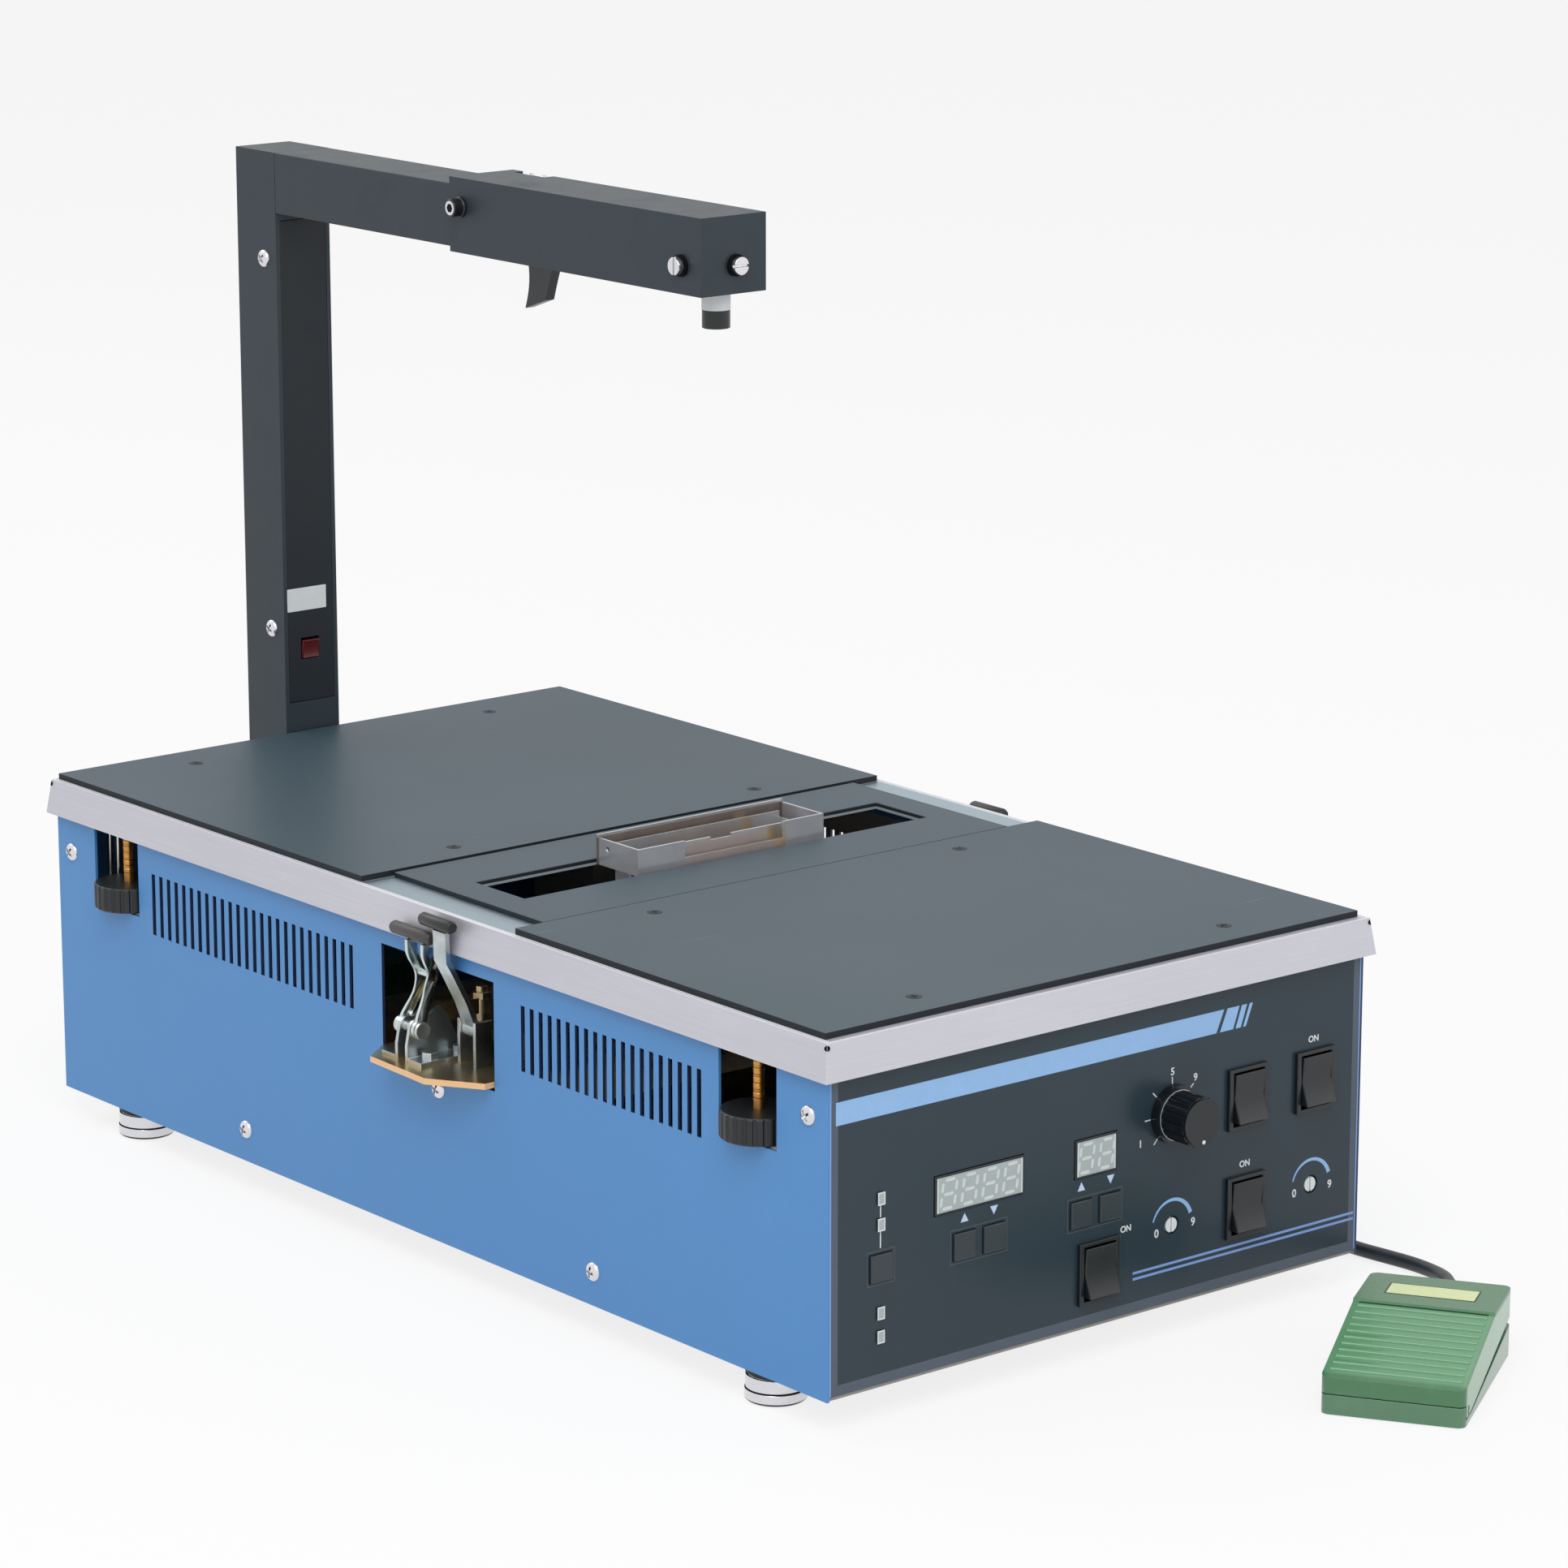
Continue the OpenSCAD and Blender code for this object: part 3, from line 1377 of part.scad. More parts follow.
// Telescopic sleeve: closed front end, rear collar round the inner arm, lugs for the trigger
module arm_sleeve() {
    x = sleeve_w / 2;
    neck = arm_w / 2 + seat_gap;
    collar_y = [sleeve_y1 - collar_l, sleeve_y1];
    color(arm_grey)
    placed()
    difference() {
        union() {
            difference() {
                block([-x, x], [sleeve_y0, sleeve_y1], [sleeve_z0, sleeve_z1]);
                block([tube_t - x, x - tube_t], [sleeve_y0 + tube_t, sleeve_y1 + 1],
                    [sleeve_z0 + tube_t, sleeve_z1 - tube_t]);
            }
            difference() {
                block([-x, x], collar_y, [sleeve_z0, sleeve_z1]);
                block([-neck, neck], [collar_y[0] - 1, collar_y[1] + 1],
                    [sleeve_z0 + tube_t, arm_top_z + seat_gap]);
            }
            for (s = [-1, 1]) {
                lug_x = s * (trigger_half + seat_gap + lug_t / 2);
                block([lug_x - lug_t / 2, lug_x + lug_t / 2], [trigger_y - 6, trigger_y + 6],
                    [sleeve_z0, trigger_z + 5]);
            }
            rod_x(2, [-trigger_half - seat_gap - lug_t, trigger_half + seat_gap + lug_t],
                trigger_y, trigger_z);
            rod_x(5.4, [-x - 1.5, tube_t - x + 5], laser_y, adjust_z);
            rod_y(5.4, laser_x, [sleeve_y0 - 1.5, sleeve_y0 + tube_t + 1.4], adjust_z);
        }
        block([-trigger_half - seat_gap, trigger_half + seat_gap], [trigger_y - 18, trigger_y + 20],
            [sleeve_z0 - 1, sleeve_z0 + tube_t + 0.1]);
        rod_z(laser_r + 0.5, laser_x, laser_y, [sleeve_z0 - 1, sleeve_z0 + tube_t + 1]);
        rod_x(pin_r + run_gap, [-x - 2, tube_t - x + 6], laser_y, adjust_z);
        rod_y(pin_r + run_gap, laser_x, [sleeve_y0 - 2, sleeve_y0 + tube_t + 2], adjust_z);
        rod_x(pin_r + run_gap, [-x - 1, -neck + 1], lock_y, lock_z);
        block([x - 6, x + 1], [sleeve_y1 - 34.5, sleeve_y1 - 8.5], [sleeve_z1 - 6, sleeve_z1 + 1]);
    }
}

// Thumb screw that clamps the sleeve to the inner arm
module lock_screw() {
    x = -sleeve_w / 2;
    color(near_black)
    placed() {
        rod_x(pin_r, [x - 2, -arm_w / 2 - seat_gap], lock_y, lock_z);
        rod_x(5.2, [x - 1.6, x - seat_gap], lock_y, lock_z);
        rod_x(4.6, [x - 7, x - 1.6], lock_y, lock_z);
    }
}

// Curved trigger lever, wide at the sleeve and narrow at its tip
module trigger() {
    steps = 10;
    top_z = trigger_z - 4;
    tip_z = sleeve_z0 - trigger_drop;
    depth = top_z - tip_z;
    toe_h = 6;
    front = [for (i = [0:steps])
        [trigger_y - 12.4 + 9 * pow(i / steps, 0.8), top_z - (depth - toe_h) * i / steps]];
    rear = [for (i = [0:steps])
        [trigger_y + 12 - 2.5 * sin(180 * i / steps) + 2 * i / steps, top_z - depth * i / steps]];
    color(near_black)
    placed()
    difference() {
        union() {
            along_x([-trigger_half, trigger_half])
            polygon(concat(front, [for (i = [steps:-1:0]) rear[i]]));
            rod_x(4.8, [-trigger_half, trigger_half], trigger_y, trigger_z);
        }
        rod_x(2 + run_gap, [-trigger_half - 1, trigger_half + 1], trigger_y, trigger_z);
    }
}

// Laser pointer hung by its collar in the sleeve's floor
module laser() {
    collar_z = sleeve_z0 + tube_t + seat_gap;
    color(near_black)
    placed()
    difference() {
        union() {
            rod_z(laser_r, laser_x, laser_y, [sleeve_z0 - laser_drop, laser_top_z]);
            rod_z(laser_r + 2.5, laser_x, laser_y, [collar_z, collar_z + 3]);
        }
        rod_z(2.5, laser_x, laser_y, [sleeve_z0 - laser_drop - 1, sleeve_z0 - laser_drop + 3]);
    }
}

// Slotted adjusting screw standing on z = 0, its shank below
module adjuster(l) {
    difference() {
        cylinder(r = 4.4, h = 3.4);
        block([-5, 5], [-0.6, 0.6], [2, 4]);
    }
    translate([0, 0, -l]) cylinder(r = pin_r, h = l);
}

module side_adjuster() {
    head_x = -sleeve_w / 2 - 1.5 - seat_gap;
    shank = laser_x - laser_r - seat_gap - head_x;
    color(silver)
    placed()
    translate([head_x, laser_y, adjust_z]) rotate([0, -90, 0]) adjuster(shank);
}

module end_adjuster() {
    head_y = sleeve_y0 - 1.5 - seat_gap;
    shank = laser_y - laser_r - seat_gap - head_y;
    color(silver)
    placed()
    translate([laser_x, head_y, adjust_z]) rotate([90, 0, 0]) adjuster(shank);
}

// Mains inlet with its three blades, and the foot switch's cord gland
module rear_sockets() {
    mid_z = (inlet_z[0] + inlet_z[1]) / 2;
    mid_x = (inlet_x[0] + inlet_x[1]) / 2;
    color(near_black)
    placed() {
        difference() {
            union() {
                block(inlet_x, [half_d, half_d + 2.5], inlet_z);
                block([inlet_x[0] + 2.3, inlet_x[1] - 2.3], [half_d - 22, half_d + 1],
                    [inlet_z[0] + 2.3, inlet_z[1] - 2.3]);
            }
            block([inlet_x[0] + 11, inlet_x[1] - 11], [half_d - 16, half_d + 3],
                [inlet_z[0] + 5, inlet_z[1] - 5]);
        }
        for (spot = [[-7, 0], [0, 3], [7, 0]]) {
            centred(mid_x + spot[0], mid_z + spot[1], 2, 4, [half_d - 17, half_d - 2]);
        }
        rod_y(6, gland_x, [inner_y - 4, half_d + gland_l - 0.3], gland_h);
        rod_y(9, gland_x, [half_d, half_d + 7], gland_h);
        rod_y(9, gland_x, [inner_y - 4, inner_y], gland_h);
    }
}

// Places a piece that is drawn from the foot switch's front left corner
module on_pedal() {
    placed() translate([pedal_x, pedal_y, 0]) rotate([0, 0, pedal_turn]) children();
}

// Rounded block from the corner to the pedal's far side
module pedal_blank(inset, z) {
    r = pedal_corner_r - inset;
    x = [inset, pedal_l - inset];
    y = [inset - pedal_w, -inset];
    block([x[0] + r, x[1] - r], y, z);
    block(x, [y[0] + r, y[1] - r], z);
    for (cx = [x[0] + r, x[1] - r], cy = [y[0] + r, y[1] - r]) {
        rod_z(r, cx, cy, z);
    }
}

module pedal_base() {
    y = [-pedal_w - 1, 1];
    pin_y = [seat_gap - pedal_w, -seat_gap];
    color(pedal_green)
    on_pedal() {
        difference() {
            intersection() {
                pedal_blank(0, [0, pedal_rear_h]);
                along_y(y)
                polygon([
                    [-1, 0], [pedal_l + 1, 0], [pedal_l + 1, pedal_split_h], [2 * pedal_pin[0], 3],
                    [3, 3], [3, 9.3], [-1, 9.3]
                ]);
            }
            pedal_blank(pedal_t, [3, pedal_rear_h]);
        }
        for (py = [-12, 9 - pedal_w]) {
            block([pedal_pin[0] - 3.5, pedal_pin[0] + 3.5], [py, py + 3], [3, pedal_pin[1] + 3.3]);
        }
        rod_y(2, pedal_pin[0], pin_y, pedal_pin[1]);
        block([switch_x0, switch_x0 + switch_w], [-pedal_w / 2 - 7, -pedal_w / 2 + 7], [3, 13]);
        rod_x(6, [pedal_l - 0.1, pedal_l + 7.5], -pedal_w / 2, gland_z);
        rod_z(2.2, pedal_spring_x, -pedal_w / 2, [3, 12]);
    }
}

// Treadle: a ribbed shell hinged on the pin at its toe
module treadle() {
    y = [-pedal_w - 1, 1];
    heel_x = pedal_l - tread_flat;
    slope = (pedal_rear_h - tread_step - pedal_front_h) / heel_x;
    plunger_x = switch_x0 + switch_w / 2;
    skirt = [[2 * pedal_pin[0], 3 + pedal_gap_front], [pedal_l + 1, pedal_split_h + pedal_gap_rear]];
    color(pedal_green)
    on_pedal() {
        difference() {
            intersection() {
                pedal_blank(0, [0, pedal_rear_h]);
                along_y(y)
                polygon([
                    [-1, 9.8], [3.5, 9.8], [3.5, 3.9], [14, 3.9], skirt[0], skirt[1],
                    [pedal_l + 1, pedal_rear_h], [heel_x, pedal_rear_h],
                    [heel_x - 0.6, pedal_rear_h - tread_step], [0, pedal_front_h], [-1, pedal_front_h]
                ]);
            }
            intersection() {
                pedal_blank(pedal_t, [0, pedal_rear_h]);
                along_y(y)
                polygon([
                    [0, 0], [pedal_l, 0], [pedal_l, pedal_rear_h - pedal_t],
                    [heel_x, pedal_rear_h - pedal_t - tread_step],
                    [0, pedal_front_h - pedal_t]
                ]);
            }
            rod_y(2 + run_gap, pedal_pin[0], y, pedal_pin[1]);
        }
        for (i = [0:tread_ribs - 1]) {
            rib_x = rib_x0 + i * rib_pitch;
            rod_y(rib_r, rib_x, [rib_end_in - pedal_w, -rib_end_in], pedal_front_h + slope * rib_x - 0.3);
        }
        rod_z(3, plunger_x, -pedal_w / 2, [16, pedal_front_h + slope * plunger_x - 1]);
    }
}

// Return spring between the foot switch's floor and its treadle, one round wire helix
module pedal_spring() {
    turns = 5;
    wire_r = 0.7;
    spring_r = 4.2;
    z0 = 3 + wire_r + 0.1;
    z1 = pedal_rear_h - pedal_t - tread_step - wire_r - seat_gap;
    steps = turns * 12;
    color(silver)
    on_pedal()
    translate([pedal_spring_x, -pedal_w / 2, 0])
    swept_tube([for (i = [0:steps])
        [spring_r * cos(i * 30), spring_r * sin(i * 30), z0 + (z1 - z0) * i / steps]], wire_r);
}

function unit(v) = v / norm(v);
function tangent(p, i) = unit(p[min(i + 1, len(p) - 1)] - p[max(i - 1, 0)]);

// Round tube swept along a route, one ring at each point
module swept_tube(p, r) {
    n = len(p);
    ring = [for (i = [0:n - 1])
        let (t = tangent(p, i), side = unit(cross([0, 0, 1], t)), up = cross(t, side))
        for (k = [0:cord_sides - 1])
            p[i] + r * (side * cos(k * 360 / cord_sides) + up * sin(k * 360 / cord_sides))];
    walls = [for (i = [0:n - 2], k = [0:cord_sides - 1])
        let (a = i * cord_sides + k, b = i * cord_sides + (k + 1) % cord_sides)
        each [[b, a, a + cord_sides], [b, a + cord_sides, b + cord_sides]]];
    first = [for (k = [0:cord_sides - 1]) k];
    last = [for (k = [cord_sides - 1:-1:0]) (n - 1) * cord_sides + k];
    polyhedron(points = ring, faces = concat([first], walls, [last]));
}

module cord() {
    color(near_black)
    placed() {
        swept_tube(cord_to_coil, cord_d / 2);
        swept_tube(cord_to_pedal, cord_d / 2);
    }
}

// Outer shape of the coil: two turns high and two wide
module coil() {
    r = cord_d / 2;
    color(near_black)
    placed()
    translate([coil_x, coil_y, 0.1])
    rotate_extrude()
    polygon([
        [coil_r - 2 * r + 1, 0], [coil_r + 2 * r - 1, 0], [coil_r + 2 * r, 1],
        [coil_r + 2 * r, 4 * r - 1], [coil_r + 2 * r - 1, 4 * r], [coil_r - 2 * r + 1, 4 * r],
        [coil_r - 2 * r, 4 * r - 1], [coil_r - 2 * r, 1]
    ]);
}

base_pan();
side_left();
side_right();
rear_panel();
front_panel();
panel_fittings();
side_screws();
feet();
studs();
pot_tray();
pot();
pump_duct();
motor();
impeller();
nozzle();
electronics();
button_temp_up();
button_temp_down();
button_time_up();
button_time_down();
button_mode();
rocker_pump();
rocker_mode();
rocker_main();
rocker_standby();
flow_knob();
speed_trimmer();
level_trimmer();
table_frame();
plate_rear();
plate_mid();
plate_front();
plate_screws();
level_knob_fl();
level_knob_fr();
level_knob_rl();
level_knob_rr();
clamp_bases();
clamp_handle_l();
clamp_handle_r();
clamp_arm_l();
clamp_arm_r();
release_lever_l();
release_lever_r();
column();
column_cover();
pilot_switch();
arm_inner();
arm_sleeve();
lock_screw();
trigger();
laser();
side_adjuster();
end_adjuster();
rear_sockets();
pedal_base();
treadle();
pedal_spring();
cord();
coil();
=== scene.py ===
import json
import math

import bmesh
import bpy
from mathutils import Matrix, Vector


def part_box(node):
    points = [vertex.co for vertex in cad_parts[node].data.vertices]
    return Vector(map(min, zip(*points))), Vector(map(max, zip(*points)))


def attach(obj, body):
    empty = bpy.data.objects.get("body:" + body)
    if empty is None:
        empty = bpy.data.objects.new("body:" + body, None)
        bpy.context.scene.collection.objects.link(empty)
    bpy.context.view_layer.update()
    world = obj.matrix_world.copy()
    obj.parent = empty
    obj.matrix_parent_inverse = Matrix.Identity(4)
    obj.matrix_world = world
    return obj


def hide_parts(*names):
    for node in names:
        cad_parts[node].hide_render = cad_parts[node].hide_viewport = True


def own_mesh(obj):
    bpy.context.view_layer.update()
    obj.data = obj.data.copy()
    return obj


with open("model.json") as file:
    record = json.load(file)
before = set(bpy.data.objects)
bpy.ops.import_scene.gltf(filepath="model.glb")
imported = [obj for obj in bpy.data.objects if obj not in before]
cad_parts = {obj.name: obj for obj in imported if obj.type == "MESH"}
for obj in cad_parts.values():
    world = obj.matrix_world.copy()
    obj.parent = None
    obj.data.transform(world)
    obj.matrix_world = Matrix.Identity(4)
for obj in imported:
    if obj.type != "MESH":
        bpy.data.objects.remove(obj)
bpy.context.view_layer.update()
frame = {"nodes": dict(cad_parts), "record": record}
nodes = frame["nodes"]
scene = bpy.context.scene
scene.view_settings.view_transform = "Standard"
mm = 0.001
panelFace = 314.3  # the front panel's face, counted in mm from the housing's middle
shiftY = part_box("front_panel")[0].y + panelFace * mm


def at(x, y, z):
    # a place in mm, counted from under the housing's middle
    return Vector((x * mm, y * mm + shiftY, z * mm))


print("stage: camera and light")
camera = {"place": (-1.6422, -2.0220, 0.8594), "aim": (0.6157, 0.7516, -0.2364), "lens": 126.6,
          "sensor": 36, "nearest": 0.05}
lamps = [
    {"name": "keyLamp", "place": (-1.6, -1.6, 2.6), "size": 2.2, "power": 54},
    {"name": "fillLamp", "place": (1.9, -2.6, 1.2), "size": 2.0, "power": 10},
    {"name": "backLamp", "place": (-0.6, 2.4, 2.4), "size": 2.0, "power": 18},
]
lampAim = Vector((0, 0, 0.15))
room = {"glow": 0.56, "floorGlow": 0.82, "floorWhite": 0.9, "floorSize": 14.0, "floorDrop": 0.0005}


def aimed(thing, place, aim):
    thing.location = place
    thing.rotation_euler = Vector(aim).to_track_quat("-Z", "Y").to_euler()
    scene.collection.objects.link(thing)
    return thing


def makeCamera():
    lens = bpy.data.cameras.new("camera")
    lens.lens = camera["lens"]
    lens.sensor_width = camera["sensor"]
    lens.clip_start = camera["nearest"]
    scene.camera = aimed(bpy.data.objects.new("camera", lens), camera["place"], camera["aim"])


def makeLamps():
    for lamp in lamps:
        light = bpy.data.lights.new(lamp["name"], "AREA")
        light.size = lamp["size"]
        light.energy = lamp["power"]
        place = Vector(lamp["place"])
        aimed(bpy.data.objects.new(lamp["name"], light), place, lampAim - place)


class Wire:
    # a socket that Python's operators work on

    def __init__(self, tree, socket):
        self.tree = tree
        self.socket = socket

    def maths(self, operation, *values):
        node = self.tree.nodes.new("ShaderNodeMath")
        node.operation = operation
        for slot, value in enumerate((self,) + values):
            plug(self.tree, value, node.inputs[slot])
        return Wire(self.tree, node.outputs[0])

    def __add__(self, other):
        return self.maths("ADD", other)

    def __radd__(self, other):
        return self + other

    def __mul__(self, other):
        return self.maths("MULTIPLY", other)

    def __rmul__(self, other):
        return self * other

    def __sub__(self, other):
        return self.maths("SUBTRACT", other)

    def __rsub__(self, other):
        return (self * -1) + other

    def __truediv__(self, other):
        return self.maths("DIVIDE", other)

    def __gt__(self, other):
        return self.maths("GREATER_THAN", other)

    def __lt__(self, other):
        return self.maths("LESS_THAN", other)

    def soft(self, low, high):
        # 0 below low, 1 above high, smooth between
        node = self.tree.nodes.new("ShaderNodeMapRange")
        node.interpolation_type = "SMOOTHSTEP"
        plug(self.tree, self, node.inputs["Value"])
        node.inputs["From Min"].default_value = low
        node.inputs["From Max"].default_value = high
        return Wire(self.tree, node.outputs[0])

    def within(self, start, full, fading, end):
        # 1 between full and fading, 0 before start and after end
        return self.soft(start, full) * (1 - self.soft(fading, end))


def plug(tree, value, socket):
    if isinstance(value, Wire):
        tree.links.new(value.socket, socket)
    elif hasattr(value, "__len__") and len(value) == 3 and len(socket.default_value) == 4:
        socket.default_value = (*value, 1)
    else:
        socket.default_value = value


class Graph:
    # a node tree whose nodes are made by one call each

    def __init__(self, tree):
        self.tree = tree

    def node(self, kind, settings=None, inputs=None, stops=None, out=0):
        node = self.tree.nodes.new(kind)
        for name, value in (settings or {}).items():
            setattr(node, name, value)
        if stops:
            ramp = node.color_ramp
            while len(ramp.elements) < len(stops):
                ramp.elements.new(0.5)
            for element, (spot, colour) in zip(ramp.elements, stops):
                element.position = spot
                element.color = (*colour, 1)
        for name, value in (inputs or {}).items():
            for one in value if isinstance(value, list) else [value]:
                plug(self.tree, one, node.inputs[name])
        return Wire(self.tree, node.outputs[out])


def seenRay(graph):
    # 1 for the rays that show the room itself, 0 for those that light the object
    direct, glossy, through = (graph.node("ShaderNodeLightPath", out=name) for name in
                               ("Is Camera Ray", "Is Glossy Ray", "Is Transmission Ray"))
    return direct.maths("MAXIMUM", glossy).maths("MAXIMUM", through)


def makeRoom():
    world = bpy.data.worlds.new("room")
    scene.world = world
    world.use_nodes = True
    sky = Graph(world.node_tree)
    world.node_tree.nodes["Background"].inputs["Color"].default_value = (1, 1, 1, 1)
    world.node_tree.nodes["Background"].inputs["Strength"].default_value = room["glow"]
    plain = Wire(sky.tree, world.node_tree.nodes["Background"].outputs[0])
    shown = sky.node("ShaderNodeBackground", inputs={"Color": (1, 1, 1)})
    both = sky.node("ShaderNodeMixShader", inputs={0: seenRay(sky), 1: plain, 2: shown})
    plug(sky.tree, both, sky.tree.nodes["World Output"].inputs["Surface"])
    half, low = room["floorSize"] / 2, -room["floorDrop"]
    mesh = bpy.data.meshes.new("floor")
    mesh.from_pydata([(-half, -half, low), (half, -half, low), (half, half, low), (-half, half, low)],
                     [], [(0, 1, 2, 3)])
    floor = bpy.data.objects.new("floor", mesh)
    scene.collection.objects.link(floor)
    paper = Finish("paper", roughness=1, Specular_IOR_Level=0, Base_Color=(room["floorWhite"],) * 3)
    glow = paper.node("ShaderNodeEmission")
    matt = Wire(paper.tree, paper.shader.outputs[0])
    both = paper.node("ShaderNodeMixShader", inputs={0: seenRay(paper) * room["floorGlow"], 1: matt, 2: glow})
    plug(paper.tree, both, paper.tree.nodes["Material Output"].inputs["Surface"])
    mesh.materials.append(paper.material)


class Finish(Graph):
    # one material, built from the surface's place on the object

    def __init__(self, name, roughness=0.5, metallic=0.0, **fixed):
        self.material = bpy.data.materials.new(name)
        self.material.use_nodes = True
        super().__init__(self.material.node_tree)
        self.shader = self.tree.nodes["Principled BSDF"]
        self.place = self.node("ShaderNodeTexCoord", out="Object")
        self.set("Roughness", roughness)
        self.set("Metallic", metallic)
        for socket, value in fixed.items():
            self.set(socket.replace("_", " "), value)

    def set(self, socket, value):
        plug(self.tree, value, self.shader.inputs[socket])

    def axis(self, name):
        return self.node("ShaderNodeSeparateXYZ", inputs={"Vector": self.place}, out=name)

    def noise(self, scale, detail=3, stretch=(1, 1, 1), rough=0.55):
        place = self.node("ShaderNodeMapping", inputs={"Vector": self.place, "Scale": stretch})
        wanted = {"Vector": place, "Scale": scale, "Detail": detail, "Roughness": rough}
        return self.node("ShaderNodeTexNoise", inputs=wanted, out="Fac")

    def mix(self, share, first, second):
        blend = self.tree.nodes.new("ShaderNodeMix")
        blend.data_type = "RGBA"
        plug(self.tree, share, blend.inputs["Factor"])
        plug(self.tree, first, blend.inputs["A"])
        plug(self.tree, second, blend.inputs["B"])
        return Wire(self.tree, next(s for s in blend.outputs if s.type == "RGBA"))

    def bump(self, height, depth, strength=1.0):
        wanted = {"Height": height, "Distance": depth, "Strength": strength}
        self.set("Normal", self.node("ShaderNodeBump", inputs=wanted, out="Normal"))


makeCamera()
makeLamps()
makeRoom()


def linear(red, green, blue):
    # a colour as seen on screen, 0 to 255, turned to the linear values that shaders take
    return tuple(v / 255 / 12.92 if v < 10 else ((v / 255 + 0.055) / 1.055) ** 2.4
                 for v in (red, green, blue))


def shade(colour, factor):
    return tuple(min(1.0, v * factor) for v in colour)


def painted(name, colour, roughness=0.42, grain=900, depth=0.00012, tone=0.07, **fixed):
    # sprayed or powder paint: an orange-peel surface, slow changes of tone and a few dull rubs
    f = Finish(name, **fixed)
    slow = f.noise(7, 4)
    rub = f.noise(38, 5).soft(0.56, 0.78)
    base = f.mix(slow, shade(colour, 1 - tone), shade(colour, 1 + tone))
    f.set("Base Color", f.mix(rub * 0.10, base, shade(colour, 1.35)))
    f.set("Roughness", roughness + 0.10 * f.noise(60, 3) + 0.08 * rub - 0.05)
    f.bump(f.noise(grain, 2) + 0.4 * f.noise(grain * 0.3, 2), depth, 0.35)
    return f.material


def brushed(name, colour, stretch, roughness=0.32, depth=0.00006, tone=0.08, **fixed):
    # rolled or brushed metal, its grain drawn out along one direction
    f = Finish(name, metallic=1.0, **fixed)
    grain = f.noise(700, 4, stretch)
    cloud = f.noise(9, 4)
    base = f.mix(grain, shade(colour, 1 - tone), shade(colour, 1 + tone))
    f.set("Base Color", f.mix(cloud * 0.3, base, shade(colour, 0.86)))
    f.set("Roughness", roughness + 0.16 * grain + 0.10 * cloud - 0.12)
    f.bump(grain, depth, 0.5)
    return f.material


def moulded(name, colour, roughness=0.5, grain=1600, depth=0.00008, tone=0.06, **fixed):
    # moulded plastic or rubber with a fine spark-eroded grain
    f = Finish(name, **fixed)
    base = f.mix(f.noise(16, 3), shade(colour, 1 - tone), shade(colour, 1 + tone))
    wear = f.noise(120, 4).soft(0.6, 0.8)
    f.set("Base Color", f.mix(wear * 0.12, base, shade(colour, 1.8)))
    f.set("Roughness", roughness + 0.12 * f.noise(90, 3) - 0.06)
    f.bump(f.noise(grain, 2), depth, 0.5)
    return f.material


def plated(name, colours, roughness=0.28):
    # zinc plating: crystals of slightly different tone, with a faint rainbow
    f = Finish(name, metallic=1.0)
    cells = f.node("ShaderNodeTexVoronoi", inputs={"Vector": f.place, "Scale": 260}, out="Distance")
    tint = f.node("ShaderNodeValToRGB", inputs={"Fac": f.noise(26, 4)},
                  stops=[(0.3 + 0.2 * i, c) for i, c in enumerate(colours)], out="Color")
    f.set("Base Color", f.mix(cells * 0.25, tint, shade(colours[0], 0.75)))
    f.set("Roughness", roughness + 0.2 * f.noise(45, 4) - 0.06)
    f.bump(cells, 0.00004, 0.4)
    return f.material


def glossyPrint(name, colour, roughness=0.38, **fixed):
    # screen-printed ink with a slightly uneven edge of gloss
    f = Finish(name, **fixed)
    f.set("Base Color", f.mix(f.noise(220, 3), shade(colour, 0.94), shade(colour, 1.04)))
    f.set("Roughness", roughness + 0.1 * f.noise(300, 2) - 0.05)
    return f.material


print("stage: finishes")
blueColour = linear(74, 136, 196)
slateColour = linear(55, 73, 83)
panelColour = linear(43, 57, 67)


def panelFinish():
    # dark printed film on the panel, the sheet's lighter paint left bare round its edge
    f = Finish("panelPaint", Specular_IOR_Level=0.3)
    film = {"side": 159 * mm, "low": 22.5 * mm, "high": 164 * mm}
    x, z = f.axis("X"), f.axis("Z")
    inside = (x > -film["side"]) * (x < film["side"]) * (z > film["low"]) * (z < film["high"])
    dark = f.mix(f.noise(8, 3), shade(panelColour, 0.92), shade(panelColour, 1.08))
    pale = f.mix(f.noise(30, 3), linear(74, 84, 96), linear(88, 98, 112))
    f.set("Base Color", f.mix(inside, pale, dark))
    f.set("Roughness", 0.42 - 0.20 * inside + 0.06 * f.noise(70, 3))
    f.bump(f.noise(1100, 2) + 2.0 * inside, 0.00006, 0.25)
    return f.material


def plateFinish():
    # table plate: matt coating, fine speckle, faint scratches from boards slid over it
    f = Finish("plateCoat", Specular_IOR_Level=0.3)
    speck = f.noise(1900, 2)
    slow = f.noise(5, 4)
    scratch = f.noise(240, 3, (0.05, 1, 1)).soft(0.66, 0.72) * f.noise(14, 2).soft(0.5, 0.7)
    base = f.mix(slow, shade(slateColour, 0.94), shade(slateColour, 1.06))
    base = f.mix(speck * 0.22, base, shade(slateColour, 1.45))
    f.set("Base Color", f.mix(scratch * 0.22, base, shade(slateColour, 1.7)))
    f.set("Roughness", 0.36 + 0.10 * slow + 0.10 * speck - 0.06 * scratch)
    f.bump(speck - 0.8 * scratch, 0.00008, 0.35)
    return f.material


